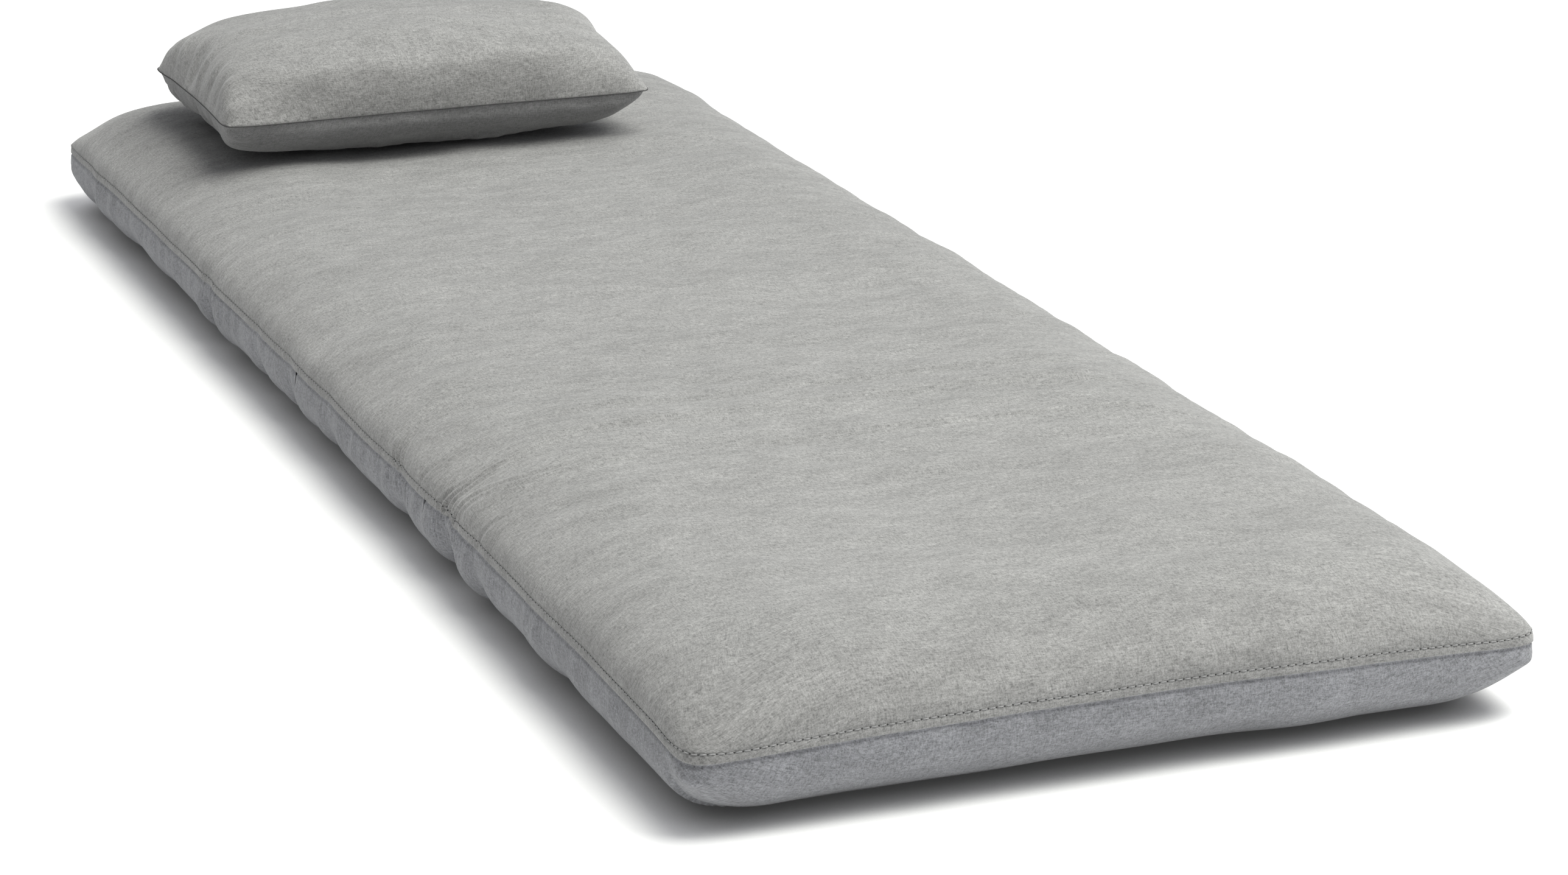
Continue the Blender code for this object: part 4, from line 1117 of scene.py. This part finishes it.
def floor():
    """A pale sweep under the bed, with painted shadow where less of the sky above is open, and a faint
    painted glow.
    """
    n = Nodes("pale_floor_painted_shadow")
    where = n.add("TexCoord").outputs["Object"]
    faint = n.noise(where, 3, 2, 0.5)
    pale = n.colours(faint, (0.3, grey(0.90)), (0.7, grey(0.92)))
    # Painted shadow: the floor's colour darkens by ambient occlusion near the bed
    near = n.add("AmbientOcclusion", {"samples": 16}, Distance=0.30)
    shade = n.colours(near.outputs["AO"], *((place, grey(level)) for place, level in FLOOR_PAINTED_SHADOW))
    n.set(Base_Color=n.mix(1.0, pale, shade, "MULTIPLY"))
    # Painted glow: the floor gives off light in the colour of its painted shadow
    n.set(Emission_Color=shade)
    n.shader.inputs["Emission Strength"].default_value = FLOOR_PAINTED_GLOW
    n.shader.inputs["Roughness"].default_value = 0.9
    n.shader.inputs["Specular IOR Level"].default_value = 0.1
    size, z = FLOOR_HALF_SIZE, FLOOR_HEIGHT
    corners = [(-size, -size, z), (size, -size, z), (size, size, z), (-size, size, z)]
    made = mesh_object("floor", corners, [(0, 1, 2, 3)], materials=(n.material,))
    made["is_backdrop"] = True


def light(name, place, aim, size, power, colour=(1, 1, 1)):
    """A square soft light."""
    lamp = bpy.data.lights.new(name, "AREA")
    lamp.size = size
    lamp.energy = power
    lamp.color = colour
    made = bpy.data.objects.new(name, lamp)
    made.location = place
    made.rotation_euler = (Vector(aim) - Vector(place)).to_track_quat("-Z", "Y").to_euler()
    scene.collection.objects.link(made)


def camera():
    """A long lens from the near left, above."""
    azimuth, elevation = math.radians(CAMERA_AZIMUTH), math.radians(CAMERA_ELEVATION)
    away = Vector((
        math.sin(azimuth) * math.cos(elevation),
        -math.cos(azimuth) * math.cos(elevation),
        math.sin(elevation),
    ))
    lens = bpy.data.cameras.new("camera")
    lens.sensor_width = CAMERA_SENSOR
    lens.lens = CAMERA_LENS
    lens.clip_end = 100
    made = bpy.data.objects.new("camera", lens)
    made.location = Vector(CAMERA_TARGET) + CAMERA_DISTANCE * away
    made.rotation_euler = (-away).to_track_quat("-Z", "Y").to_euler()
    scene.collection.objects.link(made)
    scene.camera = made


def soft_sky(low_level, high_level):
    """Even light from above and from the right, fading towards the other side and below."""
    world = bpy.data.worlds.new("studio")
    world.use_nodes = True
    tree = world.node_tree
    where = tree.nodes.new("ShaderNodeTexCoord")
    lean = tree.nodes.new("ShaderNodeVectorMath")
    lean.operation = "DOT_PRODUCT"
    levels = tree.nodes.new("ShaderNodeMapRange")
    levels.inputs["To Min"].default_value = low_level
    levels.inputs["To Max"].default_value = high_level
    tree.links.new(where.outputs["Generated"], lean.inputs[0])
    lean.inputs[1].default_value = SKY_LEAN
    tree.links.new(lean.outputs["Value"], levels.inputs["Value"])
    tree.nodes["Background"].inputs["Color"].default_value = SKY_COLOUR
    tree.links.new(levels.outputs[0], tree.nodes["Background"].inputs["Strength"])
    scene.world = world


floor()
light("key", (1.5, -1.1, 4.5), aim=(0, -0.2, 0), size=3.6, power=324, colour=(1.0, 1.003, 0.950))
camera()
scene.view_settings.view_transform = "Standard"
soft_sky(low_level=0.18, high_level=0.95)

low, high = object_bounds()
